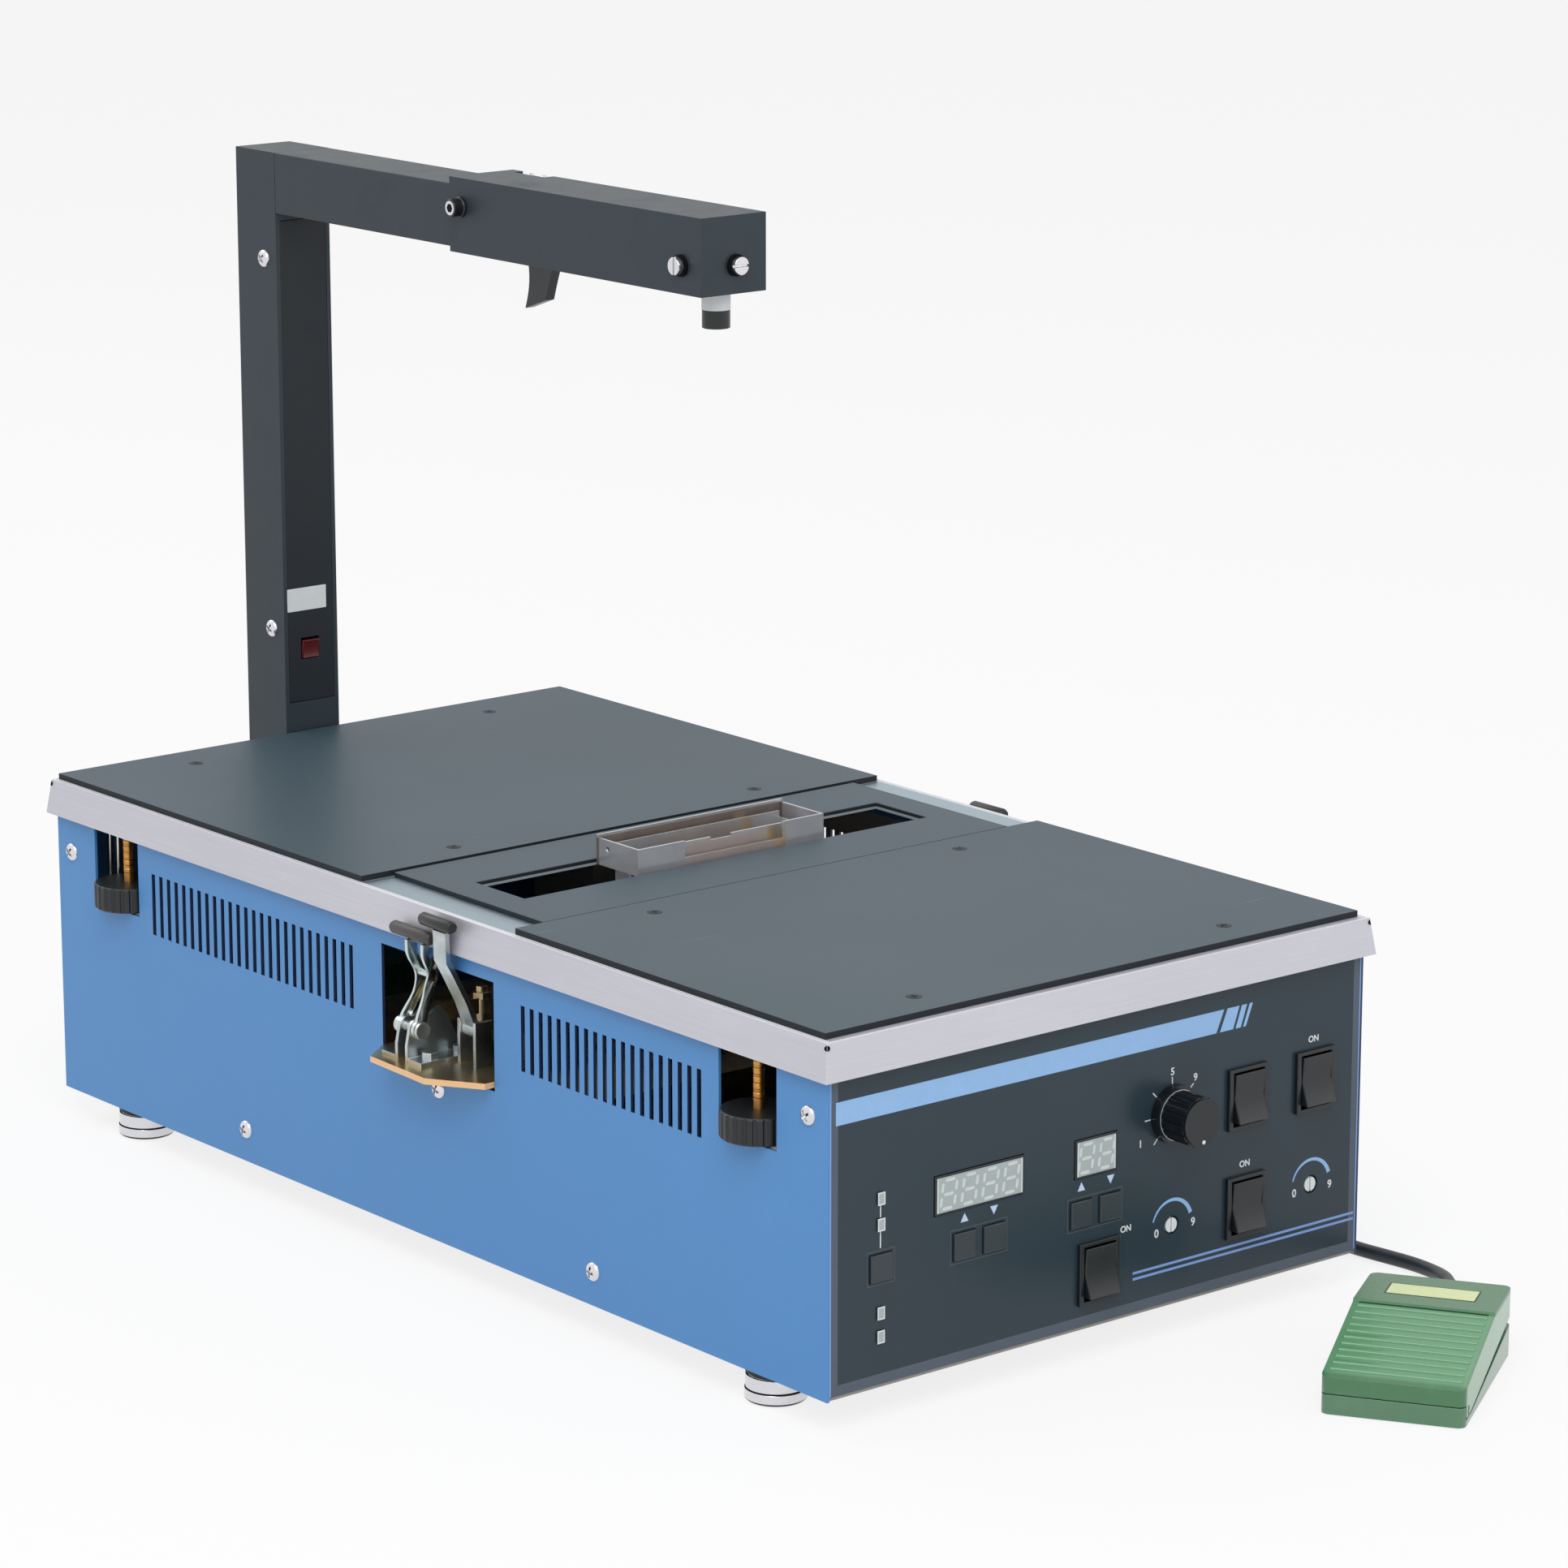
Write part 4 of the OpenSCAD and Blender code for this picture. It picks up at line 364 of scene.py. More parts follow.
def nozzleFinish():
    # folded stainless sheet: clean at its lip, straw and brown below it from heat and flux
    f = Finish("nozzleSteel", metallic=0.6)
    marks = {"lip": (189, 196.5), "rear": (59.2, 60.2), "rearTop": (195.4, 196.2),
             "middle": (-42, -12, 24, 52), "strip": (30, 33, 37, 40)}
    marks = {name: [spot * mm for spot in spots] for name, spots in marks.items()}
    x, y, z = f.axis("X"), f.axis("Y"), f.axis("Z")
    lip = z.soft(*marks["lip"])
    rear = y.soft(*marks["rear"]) * (1 - z.soft(*marks["rearTop"]))
    middle = x.within(*marks["middle"])
    cloud = f.noise(30, 4)
    streak = f.noise(120, 3, (1, 1, 0.12))
    steel = f.mix(cloud, linear(166, 167, 171), linear(212, 213, 217))
    brown = f.mix(streak, linear(138, 118, 108), linear(176, 160, 152))
    strip = x.within(*marks["strip"])
    stain = (0.55 * middle + 0.35 * cloud + 0.25 * streak - 0.5 * lip).soft(0.45, 0.95)
    soiled = f.mix(stain * 0.75, steel, brown)
    soiled = f.mix(rear * 0.85, soiled, f.mix(streak, linear(88, 74, 64), linear(128, 108, 94)))
    f.set("Base Color", f.mix(strip * 0.7 * (1 - lip), soiled, linear(196, 170, 122)))
    f.set("Roughness", 0.22 + 0.24 * stain + 0.08 * cloud + 0.2 * rear)
    f.bump(f.noise(500, 3, (1, 1, 0.3)) + stain, 0.00005, 0.5)
    return f.material


def rustFinish():
    # pot steel after years of heat: brown scale over grey metal
    f = Finish("potSteel", metallic=0.35)
    scale = f.noise(30, 6)
    fine = f.noise(260, 4)
    brown = f.mix(fine, linear(104, 74, 60), linear(150, 116, 98))
    f.set("Base Color", f.mix(scale.soft(0.42, 0.62), linear(74, 70, 68), brown))
    f.set("Roughness", 0.62 + 0.25 * fine)
    f.bump(scale * 2 + fine, 0.00025, 0.6)
    return f.material


def circuitFinish():
    # circuit board: green resist with a grid of paler tracks
    f = Finish("circuitGreen", roughness=0.35)
    track = f.node("ShaderNodeTexBrick", {"offset": 0.5, "squash": 1.0},
                   {"Vector": f.place, "Scale": 90, "Mortar Size": 0.03}, out="Fac")
    green = f.mix(f.noise(50, 3), linear(24, 64, 44), linear(34, 84, 56))
    f.set("Base Color", f.mix(track * 0.5, green, linear(56, 112, 76)))
    f.bump(track, 0.00005, 0.4)
    return f.material


def skirtFinish():
    # satin stainless of the table's edge; its upper fold and corners get a painted highlight from a finish of
    # their own
    f = Finish("skirtSteel", metallic=0.55)
    grain = f.noise(500, 4, (0.04, 0.04, 1.6))
    cloud = f.noise(6, 4)
    pale = f.mix(grain, linear(192, 191, 200), linear(212, 211, 219))
    f.set("Base Color", f.mix(cloud * 0.35, pale, linear(180, 181, 194)))
    f.set("Roughness", 0.40 + 0.14 * grain + 0.08 * cloud)
    f.bump(grain, 0.00006, 0.35)
    return f.material


def studFinish():
    # dull brass with a cloudy tone
    f = Finish("studBrass", metallic=1.0)
    f.set("Base Color", f.mix(f.noise(60, 4), linear(186, 128, 62), linear(226, 172, 98)))
    f.set("Roughness", 0.3 + 0.2 * f.noise(140, 3))
    f.bump(f.noise(600, 2), 0.00005, 0.4)
    return f.material


def cordFinish():
    # extruded rubber sheath with a fine bump and paler dusty patches
    f = Finish("cordRubber")
    dust = f.noise(70, 4).soft(0.5, 0.8)
    f.set("Base Color", f.mix(dust * 0.25, linear(26, 30, 34), linear(62, 68, 72)))
    f.set("Roughness", 0.42 + 0.2 * dust)
    f.bump(f.noise(800, 3), 0.00008, 0.5)
    return f.material


# the foot switch, in mm: its corner and turn on the bench, then places counted from that corner
pedal = {"corner": (24.8, -431.6), "turn": 32.6, "frontTop": 17.7, "rearTop": 32.6, "step": 1.2,
         "solidStep": 78.5, "stepAt": 67.0, "ribStart": 4.2, "ribDepth": 3.4, "springTravel": 3.35,
         "frontEdge": (2, 6), "heelEdge": (65.5, 67.5), "heelRise": (30.4, 31.2),
         "plate": (79.5, 93.3), "plateWidth": (-53.6, -12.6), "plateRim": 0.8, "groove": (-63, -3)}
pedalCos = math.cos(math.radians(pedal["turn"]))
pedalSin = math.sin(math.radians(pedal["turn"]))


def pedalFinish(name, colour, ribs=None):
    # green moulded shell with a coarse leather grain and paler rubbed spots
    coat = 0.75
    f = Finish(name, Coat_Weight=coat, Coat_IOR=1.6, Coat_Roughness=0.16)
    grain = f.node("ShaderNodeTexVoronoi", inputs={"Vector": f.place, "Scale": 900}, out="Distance")
    rub = f.noise(45, 4).soft(0.5, 0.75)
    base = f.mix(f.noise(12, 3), shade(colour, 0.92), shade(colour, 1.08))
    if ribs:
        # the ribbed top gets a painted highlight, paler than the front edge; the heel pad keeps the base
        # colour and is duller
        corner = at(*pedal["corner"], 0)
        along = (f.axis("X") - corner.x) * pedalCos + (f.axis("Y") - corner.y) * pedalSin
        front, heel, rise = ([v * mm for v in pedal[key]] for key in ("frontEdge", "heelEdge", "heelRise"))
        pad = along.soft(*heel) * f.axis("Z").soft(*rise)
        base = f.mix(along.soft(*front) * (1 - pad), base, ribs)
        f.set("Coat Weight", coat - 0.45 * pad)
    f.set("Base Color", f.mix(rub * 0.14, base, linear(120, 168, 130)))
    f.set("Roughness", 0.32 + 0.12 * grain + 0.10 * rub)
    f.bump(grain, 0.00010, 0.5)
    return f.material


finishes = {
    "blue_paint": painted("bluePaint", blueColour, 0.38, tone=0.04),
    # painted shade on the slots' walls and on the right sheet's front return
    "slot_shade": painted("slotEdge", linear(24, 46, 82), 0.55),
    # the side sheets' inside faces are painted pale as painted light, so the housing's inside doesn't render
    # black
    "inside_painted_light": painted("insidePaint", linear(150, 148, 142), 0.6),
    # the base pan's steel is painted pale as painted light, so the inside doesn't render black
    "inside_pan": painted("insidePan", linear(158, 155, 148), 0.5),
    "stainless": brushed("panSteel", linear(150, 152, 158), (1, 0.05, 1)),
    "skirt": skirtFinish(),
    "rim_grey": brushed("rimGrey", linear(160, 176, 186), (0.05, 1, 1), 0.42),
    "slate_plate": plateFinish(),
    "arm_paint": painted("armPaint", linear(40, 51, 59), 0.46, 1300, 0.00014, Specular_IOR_Level=0.35),
    "column_paint": painted("columnPaint", linear(26, 33, 39), 0.44, 1300, 0.00014, Specular_IOR_Level=0.3),
    "panel_paint": panelFinish(),
    "black_plastic": moulded("blackPlastic", linear(20, 25, 30), 0.32),
    "knob_plastic": moulded("knobPlastic", linear(14, 19, 24), 0.2, 700, 0.00004),
    "level_plastic": moulded("levelPlastic", linear(24, 27, 30), 0.42),
    "zinc_plate": plated("zincPlate", [linear(206, 168, 108), linear(222, 200, 152), linear(186, 186, 184)]),
    "clear_zinc": plated("clearZinc", [linear(166, 176, 178), linear(204, 210, 212), linear(140, 150, 156)]),
    "bright_steel": brushed("brightSteel", linear(222, 222, 226), (1, 1, 1), 0.2, 0.00003),
    "pot_steel": rustFinish(),
    "brass_stud": studFinish(),
    "guide_steel": brushed("guideSteel", linear(214, 210, 204), (1, 1, 0.05), 0.2, 0.00003),
    "vinyl_grip": moulded("vinylGrip", linear(60, 57, 56), 0.42, 500, 0.00010),
    "black_grip": moulded("blackGrip", linear(26, 27, 29), 0.36, 500, 0.00010),
    "steel_grip": brushed("handleSteel", linear(206, 216, 214), (1, 1, 0.1), 0.24, 0.00004),
    "circuit": circuitFinish(),
    # the second colour is a painted highlight on the treadle's ribbed top
    "pedal_green": pedalFinish("pedalGreen", linear(48, 112, 66), linear(84, 148, 102)),
    "pedal_base_green": pedalFinish("pedalBaseGreen", linear(72, 120, 86)),
    "red_lens": moulded("redLens", linear(84, 10, 16), 0.2, 400, 0.00003),
    "cord_rubber": cordFinish(),
    "motor_black": painted("motorBlack", linear(26, 29, 31), 0.28, 700, 0.00006),
    "spring_wire": brushed("springWire", linear(206, 206, 210), (1, 1, 1), 0.2),
    "foot_rubber": moulded("footRubber", linear(22, 23, 25), 0.55, 900, 0.0001),
    "nozzle_steel": nozzleFinish(),
    "white_print": glossyPrint("whitePrint", linear(220, 224, 226)),
    "blue_print": glossyPrint("bluePrint", linear(143, 184, 230)),
    "line_print": glossyPrint("linePrint", linear(124, 158, 216)),
    "arrow_print": glossyPrint("arrowPrint", linear(190, 208, 238)),
    "button_grey": moulded("buttonGrey", linear(40, 50, 56), 0.3),
    # painted shade on the table plates' side faces
    "plate_edge": painted("plateEdge", linear(32, 38, 43), 0.5, Specular_IOR_Level=0.2),
    # painted highlight on the skirt's upper fold and upright corners
    "bright_edge": painted("brightEdge", linear(232, 233, 238), 0.35),
    "tray_edge": glossyPrint("trayEdge", linear(238, 190, 138), 0.3),
    "slot_lip": glossyPrint("slotLip", linear(150, 160, 166), 0.4),
    # painted shade in holes, in recesses and in the gaps round the adjusters
    "dark_print": glossyPrint("darkPrint", linear(12, 14, 16), 0.6, Specular_IOR_Level=0.08),
    # painted shade of the plate screws' countersinks
    "screw_black": moulded("screwBlack", linear(36, 41, 46), 0.5, Specular_IOR_Level=0.25),
    "frame_print": glossyPrint("framePrint", linear(64, 74, 82)),
    "window_grey": glossyPrint("windowGrey", linear(168, 178, 179), 0.22),
    "segment_pale": glossyPrint("segmentPale", linear(204, 212, 212), 0.3),
    "pedal_plate": glossyPrint("pedalPlate", linear(226, 238, 178), 0.4),
    # painted shade round the pedal's plate and in its heel groove
    "dark_green": glossyPrint("darkGreen", linear(30, 62, 40), 0.5),
}

# a node's finish where it isn't its slot's own, for one node or for all whose names hold a word
nodeFinish = {
    "table_frame": "skirt", "nozzle": "nozzle_steel", "clamp_bases": "clear_zinc", "motor": "motor_black",
    "flow_knob": "knob_plastic", "pedal_base": "pedal_base_green", "impeller": "bright_steel",
    # the base pan gets the pale painted light finish in place of its steel
    "column": "arm_paint", "base_pan": "inside_pan",
}
familyFinish = {"trimmer": "white_print", "level_knob": "level_plastic", "release_lever": "clear_zinc",
                "button": "button_grey"}
for word, finish in familyFinish.items():
    nodeFinish.update({name: finish for name in nodes if word in name})
record = frame["record"]
slotOf = {part["node"]: part["material_slot"] for part in record["subparts"]}
bodyOf = {node: body for body, members in record["behaviour"]["bodies"].items() for node in members}
for name, piece in nodes.items():
    piece.data.materials.clear()
    piece.data.materials.append(finishes[nodeFinish.get(name, slotOf[name])])
sharpFrom = 35  # degrees between two faces from which their edge stays sharp


def addPiece(name, mesh, body, finish=None, replaced=()):
    piece = bpy.data.objects.new(name, mesh)
    scene.collection.objects.link(piece)
    if finish:
        mesh.materials.clear()
        mesh.materials.append(finishes[finish])
    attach(piece, body)
    if replaced:
        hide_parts(*replaced)
    return piece


def meshFrom(name, work, smoothAngle=None):
    mesh = bpy.data.meshes.new(name)
    work.to_mesh(mesh)
    work.free()
    if smoothAngle is not None:
        mesh.shade_smooth()
        mesh.set_sharp_from_angle(angle=math.radians(smoothAngle))
    return mesh


def boxed(boxes, place=at):
    # boxes, each given by its ends in x, y and z
    work = bmesh.new()
    for box in boxes:
        for vert in bmesh.ops.create_cube(work, size=1)["verts"]:
            vert.co = place(*(ends[0] if side < 0 else ends[1] for ends, side in zip(box, vert.co)))
    bmesh.ops.recalc_face_normals(work, faces=work.faces)
    return work


def circle(corners):
    return [(math.cos(math.tau * i / corners), math.sin(math.tau * i / corners)) for i in range(corners)]


def skinned(work, rings):
    # a closed skin over rings of vertices
    for low, high in zip(rings, rings[1:]):
        for i in range(len(low)):
            work.faces.new((low[i - 1], low[i], high[i], high[i - 1]))
    work.faces.new(rings[0][::-1])
    work.faces.new(rings[-1])
    bmesh.ops.recalc_face_normals(work, faces=work.faces)
    return work


def smoothStep(value, low, high):
    share = min(1, max(0, (value - low) / (high - low)))
    return share * share * (3 - 2 * share)


def evaluated(rough):
    # the object's mesh after its modifiers, the object itself taken away
    bpy.context.view_layer.update()
    mesh = bpy.data.meshes.new_from_object(rough.evaluated_get(bpy.context.evaluated_depsgraph_get()))
    bpy.data.objects.remove(rough)
    return mesh


print("stage: edges broken as folded, filed and moulded")
# what counts as one corner and one plane when triangles are joined, and as an edge to break
joining = {"corner": 0.000004, "plane": 0.4, "wayStep": 1 / 230, "planeStep": 0.000037, "edge": 30}


def merged(name):
    # a CAD piece's copy with its triangles joined to whole faces
    work = bmesh.new()
    work.from_mesh(nodes[name].data)
    bmesh.ops.remove_doubles(work, verts=work.verts, dist=joining["corner"])
    bmesh.ops.dissolve_limit(work, angle_limit=math.radians(joining["plane"]), verts=work.verts,
                             edges=work.edges)
    return work


def planeKey(normal, spot):
    return tuple(round(v / joining["wayStep"]) for v in normal) + (
        round(normal.dot(spot) / joining["planeStep"]),)


def soften(name, width, finish=None, rules=(), work=None, segments=2):
    # rules are (finish, test) pairs; a test gets a face's middle in mm and its normal
    work = work or merged(name)
    work.normal_update()
    walls = {planeKey(face.normal, face.verts[0].co) for face in work.faces}
    mesh = meshFrom(name + "Soft", work)
    mesh.shade_smooth()
    rough = bpy.data.objects.new("rough", mesh)
    scene.collection.objects.link(rough)
    edge = rough.modifiers.new("edge", "BEVEL")
    edge.width = width * mm
    edge.segments = segments
    edge.limit_method = "ANGLE"
    edge.angle_limit = math.radians(joining["edge"])
    mesh = evaluated(rough)
    piece = addPiece(name + "_soft", mesh, bodyOf[name], finish or nodeFinish.get(name, slotOf[name]),
                     replaced=(name,))
    beside = {}
    for face in mesh.polygons:
        wall = planeKey(face.normal, mesh.vertices[face.vertices[0]].co) in walls
        for key in face.edge_keys:
            beside.setdefault(key, set()).add(wall)
    for line in mesh.edges:
        line.use_edge_sharp = len(beside.get(line.key, ())) == 2
    for other, test in rules:
        mesh.materials.append(finishes[other])
        for face in mesh.polygons:
            x, y, z = face.center / mm
            if test(x, y - shiftY / mm, z, face.normal):
                face.material_index = len(mesh.materials) - 1
    return piece


# how wide each node's edges are broken, in mm; a name with a last _ stands for all that start with it
edgeWidths = {
    0.12: ("nozzle",), 0.2: ("speed_trimmer", "level_trimmer", "clamp_bases"),
    0.25: ("electronics", "flow_knob", "clamp_arm_"), 0.6: ("pot", "trigger"), 0.7: ("column", "arm_inner"),
    0.3: ("base_pan", "front_panel", "pump_duct", "side_adjuster", "end_adjuster", "laser"),
    0.35: ("rear_panel", "panel_fittings", "column_cover", "level_knob_"), 1.6: ("pedal_base",),
    0.4: ("pilot_switch", "lock_screw", "rear_sockets"), 0.5: ("motor", "button_", "rocker_"),
}
for width, words in edgeWidths.items():
    for name in list(nodes):
        if any(name == word or (word[-1] == "_" and name.startswith(word)) for word in words):
            soften(name, width)

# where a piece changes its finish, in mm
zones = {"slots": (95, 163), "slotReach": 235, "inside": 164.4, "foremost": -300, "trayEdge": 150,
         "guides": 153, "rim": (-84, 40), "rimCuts": (-83.5, 39.5), "rimSide": 164, "rimSideCut": 163.8,
         "rimTop": 181.5, "foldTop": 180.5, "foldEnd": 312, "footMetal": (1.2, 12.4), "sleeveSide": -20.1,
         "sleeveEnd": -44.9, "handleGrip": 166.2, "leverGrip": 174.5}


def between(value, ends):
    return ends[0] < value < ends[1]


def onSlot(x, y, z, n):
    return abs(n.x) < 0.95 and between(z, zones["slots"]) and abs(y) < zones["slotReach"]


def onRim(x, y, z, n):
    return z > zones["rimTop"] and n.z > 0.9 and between(y, zones["rim"]) and abs(x) < zones["rimSide"]


def onFold(x, y, z, n):
    # the skirt's rounded upper edge, which is given a painted highlight
    return z > zones["foldTop"] and n.z > 0.2 and (abs(x) >= zones["rimSide"] or abs(y) > zones["foldEnd"])


# the bevels of the skirt's upright corners, given a painted highlight
def onCorner(x, y, z, n):
    return abs(n.z) < 0.4 and min(abs(n.x), abs(n.y)) > 0.25


# the slots' walls and the right sheet's front return are painted dark as painted shade of the housing's
# closed inside
sheetRules = [("slot_shade", onSlot),
              ("inside_painted_light", lambda x, y, z, n: abs(x) < zones["inside"] and n.x * x < 0)]
frontRule = ("slot_shade", lambda x, y, z, n: n.y < -0.6 and y < zones["foremost"])
soften("side_left", 0.2, rules=sheetRules)
soften("side_right", 0.2, rules=sheetRules + [frontRule])
# the plates' side faces are painted dark as painted shade of the gap round each plate
for name in ("plate_rear", "plate_mid", "plate_front"):
    soften(name, 0.4, rules=[("plate_edge", lambda x, y, z, n: n.z < 0.6)])
soften("pot_tray", 0.25,
       rules=[("tray_edge", lambda x, y, z, n: abs(n.z) < 0.75 and abs(x) > zones["trayEdge"])])
soften("studs", 0.2, rules=[("guide_steel", lambda x, y, z, n: abs(x) < zones["guides"])])
soften("feet", 0.25,
       rules=[("bright_steel", lambda x, y, z, n: between(z, zones["footMetal"]) and n.xy.length > 0.5)])
# the sleeve's bosses round the adjusters are painted dark as painted shadow of their gaps
soften("arm_sleeve", 0.6,
       rules=[("dark_print", lambda x, y, z, n: x < zones["sleeveSide"] or y < zones["sleeveEnd"])])


def makeTableFrame():
    # the frame's one flat top is split first, so that its bare rim can have its own finish
    work = merged("table_frame")
    cuts = [((0, y, 0), (0, 1, 0)) for y in zones["rimCuts"]]
    cuts += [((side * zones["rimSideCut"], 0, 0), (1, 0, 0)) for side in (-1, 1)]
    for place, way in cuts:
        parts = work.verts[:] + work.edges[:] + work.faces[:]
        bmesh.ops.bisect_plane(work, geom=parts, plane_co=at(*place), plane_no=way, dist=0.01 * mm)
    soften("table_frame", 1.1, segments=3, work=work,
           rules=[("rim_grey", onRim), ("bright_edge", onFold), ("bright_edge", onCorner)])


handle = {"middle": -11, "reach": 8, "gripLow": 166, "pinch": 0.4, "pinchRise": (124, 142), "lean": 9,
          "leanRise": (141, 157)}


def makeHandle(side):
    # the two S-shaped plates drawn together at mid height and towards the front under the grip
    name = "clamp_handle_" + side
    work = merged(name)
    for vert in work.verts:
        z, off = vert.co.z / mm, (vert.co.y - shiftY) / mm - handle["middle"]
        if z < handle["gripLow"] or abs(off) < handle["reach"]:
            away = smoothStep(z, *handle["leanRise"])
            near = 1 - handle["pinch"] * smoothStep(z, *handle["pinchRise"]) * (1 - away)
            vert.co.y = (handle["middle"] + off * near - handle["lean"] * away) * mm + shiftY
    soften(name, 0.22, rules=[("vinyl_grip", lambda x, y, z, n: z > zones["handleGrip"])], work=work)


makeTableFrame()
for side in "lr":
    makeHandle(side)
    soften("release_lever_" + side, 0.22,
           rules=[("black_grip", lambda x, y, z, n: z > zones["leverGrip"])])


print("stage: screws, threads and marks")


def growTree(name, sizes):
    # a Geometry Nodes tree that takes points, named sizes and a material
    group = bpy.data.node_groups.new(name, "GeometryNodeTree")
    face = group.interface
    face.new_socket("Points", in_out="INPUT", socket_type="NodeSocketGeometry")
    for label, value in sizes.items():
        kind = "NodeSocketInt" if isinstance(value, int) else "NodeSocketFloat"
        face.new_socket(label, in_out="INPUT", socket_type=kind).default_value = value
    face.new_socket("Material", in_out="INPUT", socket_type="NodeSocketMaterial")
    face.new_socket("Mesh", in_out="OUTPUT", socket_type="NodeSocketGeometry")
    graph = Graph(group)
    source = group.nodes.new("NodeGroupInput")
    graph.given = {item.name: Wire(group, item) for item in source.outputs if item.name}
    return graph


def spread(graph, shape, axis="Z", turned=0.0, seed=11):
    # the shape on every point, its axis along the point's way, turned at random up to an angle
    limits = {2: 0.0, 3: turned, 8: seed}
    spin = graph.node("FunctionNodeRandomValue", {"data_type": "FLOAT"}, limits, out=1)
    start = graph.node("FunctionNodeAxisAngleToRotation", inputs={"Axis": (0, 0, 1), "Angle": spin})
    way = graph.node("GeometryNodeInputNamedAttribute", {"data_type": "FLOAT_VECTOR"}, {"Name": "way"})
    turn = graph.node("FunctionNodeAlignRotationToVector", {"axis": axis}, {"Rotation": start, "Vector": way})
    placed = graph.node("GeometryNodeInstanceOnPoints",
                        inputs={"Points": graph.given["Points"], "Instance": shape, "Rotation": turn})
    solid = graph.node("GeometryNodeRealizeInstances", inputs={"Geometry": placed})
    done = graph.node("GeometryNodeSetMaterial",
                      inputs={"Geometry": solid, "Material": graph.given["Material"]})
    plug(graph.tree, done, graph.tree.nodes.new("NodeGroupOutput").inputs[0])
    return graph.tree


def vector(graph, x, y, z):
    return graph.node("ShaderNodeCombineXYZ", inputs={"X": x, "Y": y, "Z": z})


def screwSizes(headRadius, headHeight, recessWidth, recessDepth, shankRadius, shankLength):
    return {"Head Radius": headRadius * mm, "Head Height": headHeight * mm,
            "Recess Width": recessWidth * mm, "Recess Depth": recessDepth * mm,
            "Shank Radius": shankRadius * mm, "Shank Length": shankLength * mm}


def screwTree():
    # pan head with a cross recess on a plain shank
    g = growTree("crossScrews", screwSizes(4.8, 2.4, 1.2, 1.5, 1.9, 5))
    radius, height = g.given["Head Radius"], g.given["Head Height"]
    width, depth = g.given["Recess Width"], g.given["Recess Depth"]
    ball = g.node("GeometryNodeMeshUVSphere", inputs={"Segments": 28, "Rings": 14, "Radius": radius})
    flat = vector(g, 1.0, 1.0, height / radius)
    dome = g.node("GeometryNodeTransform", inputs={"Geometry": ball, "Scale": flat})

    def lifted(shape, lift):
        rise = vector(g, 0.0, 0.0, lift)
        return g.node("GeometryNodeTransform", inputs={"Geometry": shape, "Translation": rise})

    def bar(x, y, z, lift):
        return lifted(g.node("GeometryNodeMeshCube", inputs={"Size": vector(g, x, y, z)}), lift)

    cuts = [bar(radius * 3, radius * 3, height * 2.4, height * -1.2),
            bar(radius * 1.15, width, depth * 2, height), bar(width, radius * 1.15, depth * 2, height)]
    head = g.node("GeometryNodeMeshBoolean", {"operation": "DIFFERENCE"}, {"Mesh 1": dome, "Mesh 2": cuts})
    length = g.given["Shank Length"]
    rod = g.node("GeometryNodeMeshCylinder",
                 inputs={"Vertices": 16, "Radius": g.given["Shank Radius"], "Depth": length})
    both = g.node("GeometryNodeJoinGeometry", inputs={"Geometry": [head, lifted(rod, length * -0.5)]})
    return spread(g, both, turned=1.5)


def threadTree():
    # one ridge wound round each stud
    g = growTree("studThreads", {"Radius": 2.42 * mm, "Pitch": 1.0 * mm, "Length": 34 * mm,
                                 "Ridge": 0.3 * mm})
    radius, length = g.given["Radius"], g.given["Length"]
    path = g.node("GeometryNodeCurveSpiral", inputs={
        "Resolution": 18, "Rotations": length / g.given["Pitch"], "Start Radius": radius,
        "End Radius": radius, "Height": length})
    ring = g.node("GeometryNodeCurvePrimitiveCircle", inputs={"Resolution": 4, "Radius": g.given["Ridge"]})
    ridge = g.node("GeometryNodeCurveToMesh",
                   inputs={"Curve": path, "Profile Curve": ring, "Fill Caps": True})
    return spread(g, ridge, turned=6.0)


def markTree():
    # flat bars that point away from a dial's middle
    g = growTree("dialMarks", {"Length": 3.4 * mm, "Width": 0.6 * mm, "Thickness": 0.08 * mm})
    bar = g.node("GeometryNodeMeshCube", inputs={
        "Size": vector(g, g.given["Length"], g.given["Thickness"], g.given["Width"])})
    return spread(g, bar, axis="X")


def grow(name, tree, points, ways, finish, sizes=None):
    # the mesh that a tree makes on points in mm, each with its own way
    mesh = bpy.data.meshes.new(name)
    mesh.from_pydata([at(*point) for point in points], [], [])
    way = mesh.attributes.new("way", "FLOAT_VECTOR", "POINT")
    for item, direction in zip(way.data, ways):
        item.vector = direction
    seed = bpy.data.objects.new("seed", mesh)
    scene.collection.objects.link(seed)
    modifier = seed.modifiers.new("grow", "NODES")
    modifier.node_group = tree
    for item in tree.interface.items_tree:
        if item.in_out == "INPUT" and item.name == "Material":
            modifier[item.identifier] = finishes[finish]
        elif item.in_out == "INPUT" and item.name in (sizes or {}):
            modifier[item.identifier] = sizes[item.name]
    result = evaluated(seed)
    result.shade_smooth()
    result.set_sharp_from_angle(angle=math.radians(sharpFrom))
    return result


# screws by where they sit: how far out in x, and their places in y and z
screws = {
    "side": {"out": 165, "spots": [(301, 145.7), (-301, 145.7), (144, 32.3), (-144, 32.3), (-23, 92.6)]},
    "column": {"out": 17.2, "spots": [(330.3, 240), (330.3, 440)]},
    "plate": {"out": 95.5, "spots": [(288, 185.0), (58, 185.0), (-103, 185.0), (-291, 185.0)]},
    "notch": {"out": 18.9, "spots": [(131, 499.3), (142, 499.3)]},
}
studs = {"x": 158, "y": 258, "low": 141.8}
up = (0, 0, 1)


def screwPoints(where, sides=(-1, 1)):
    return [(side * screws[where]["out"], y, z) for side in sides for y, z in screws[where]["spots"]]


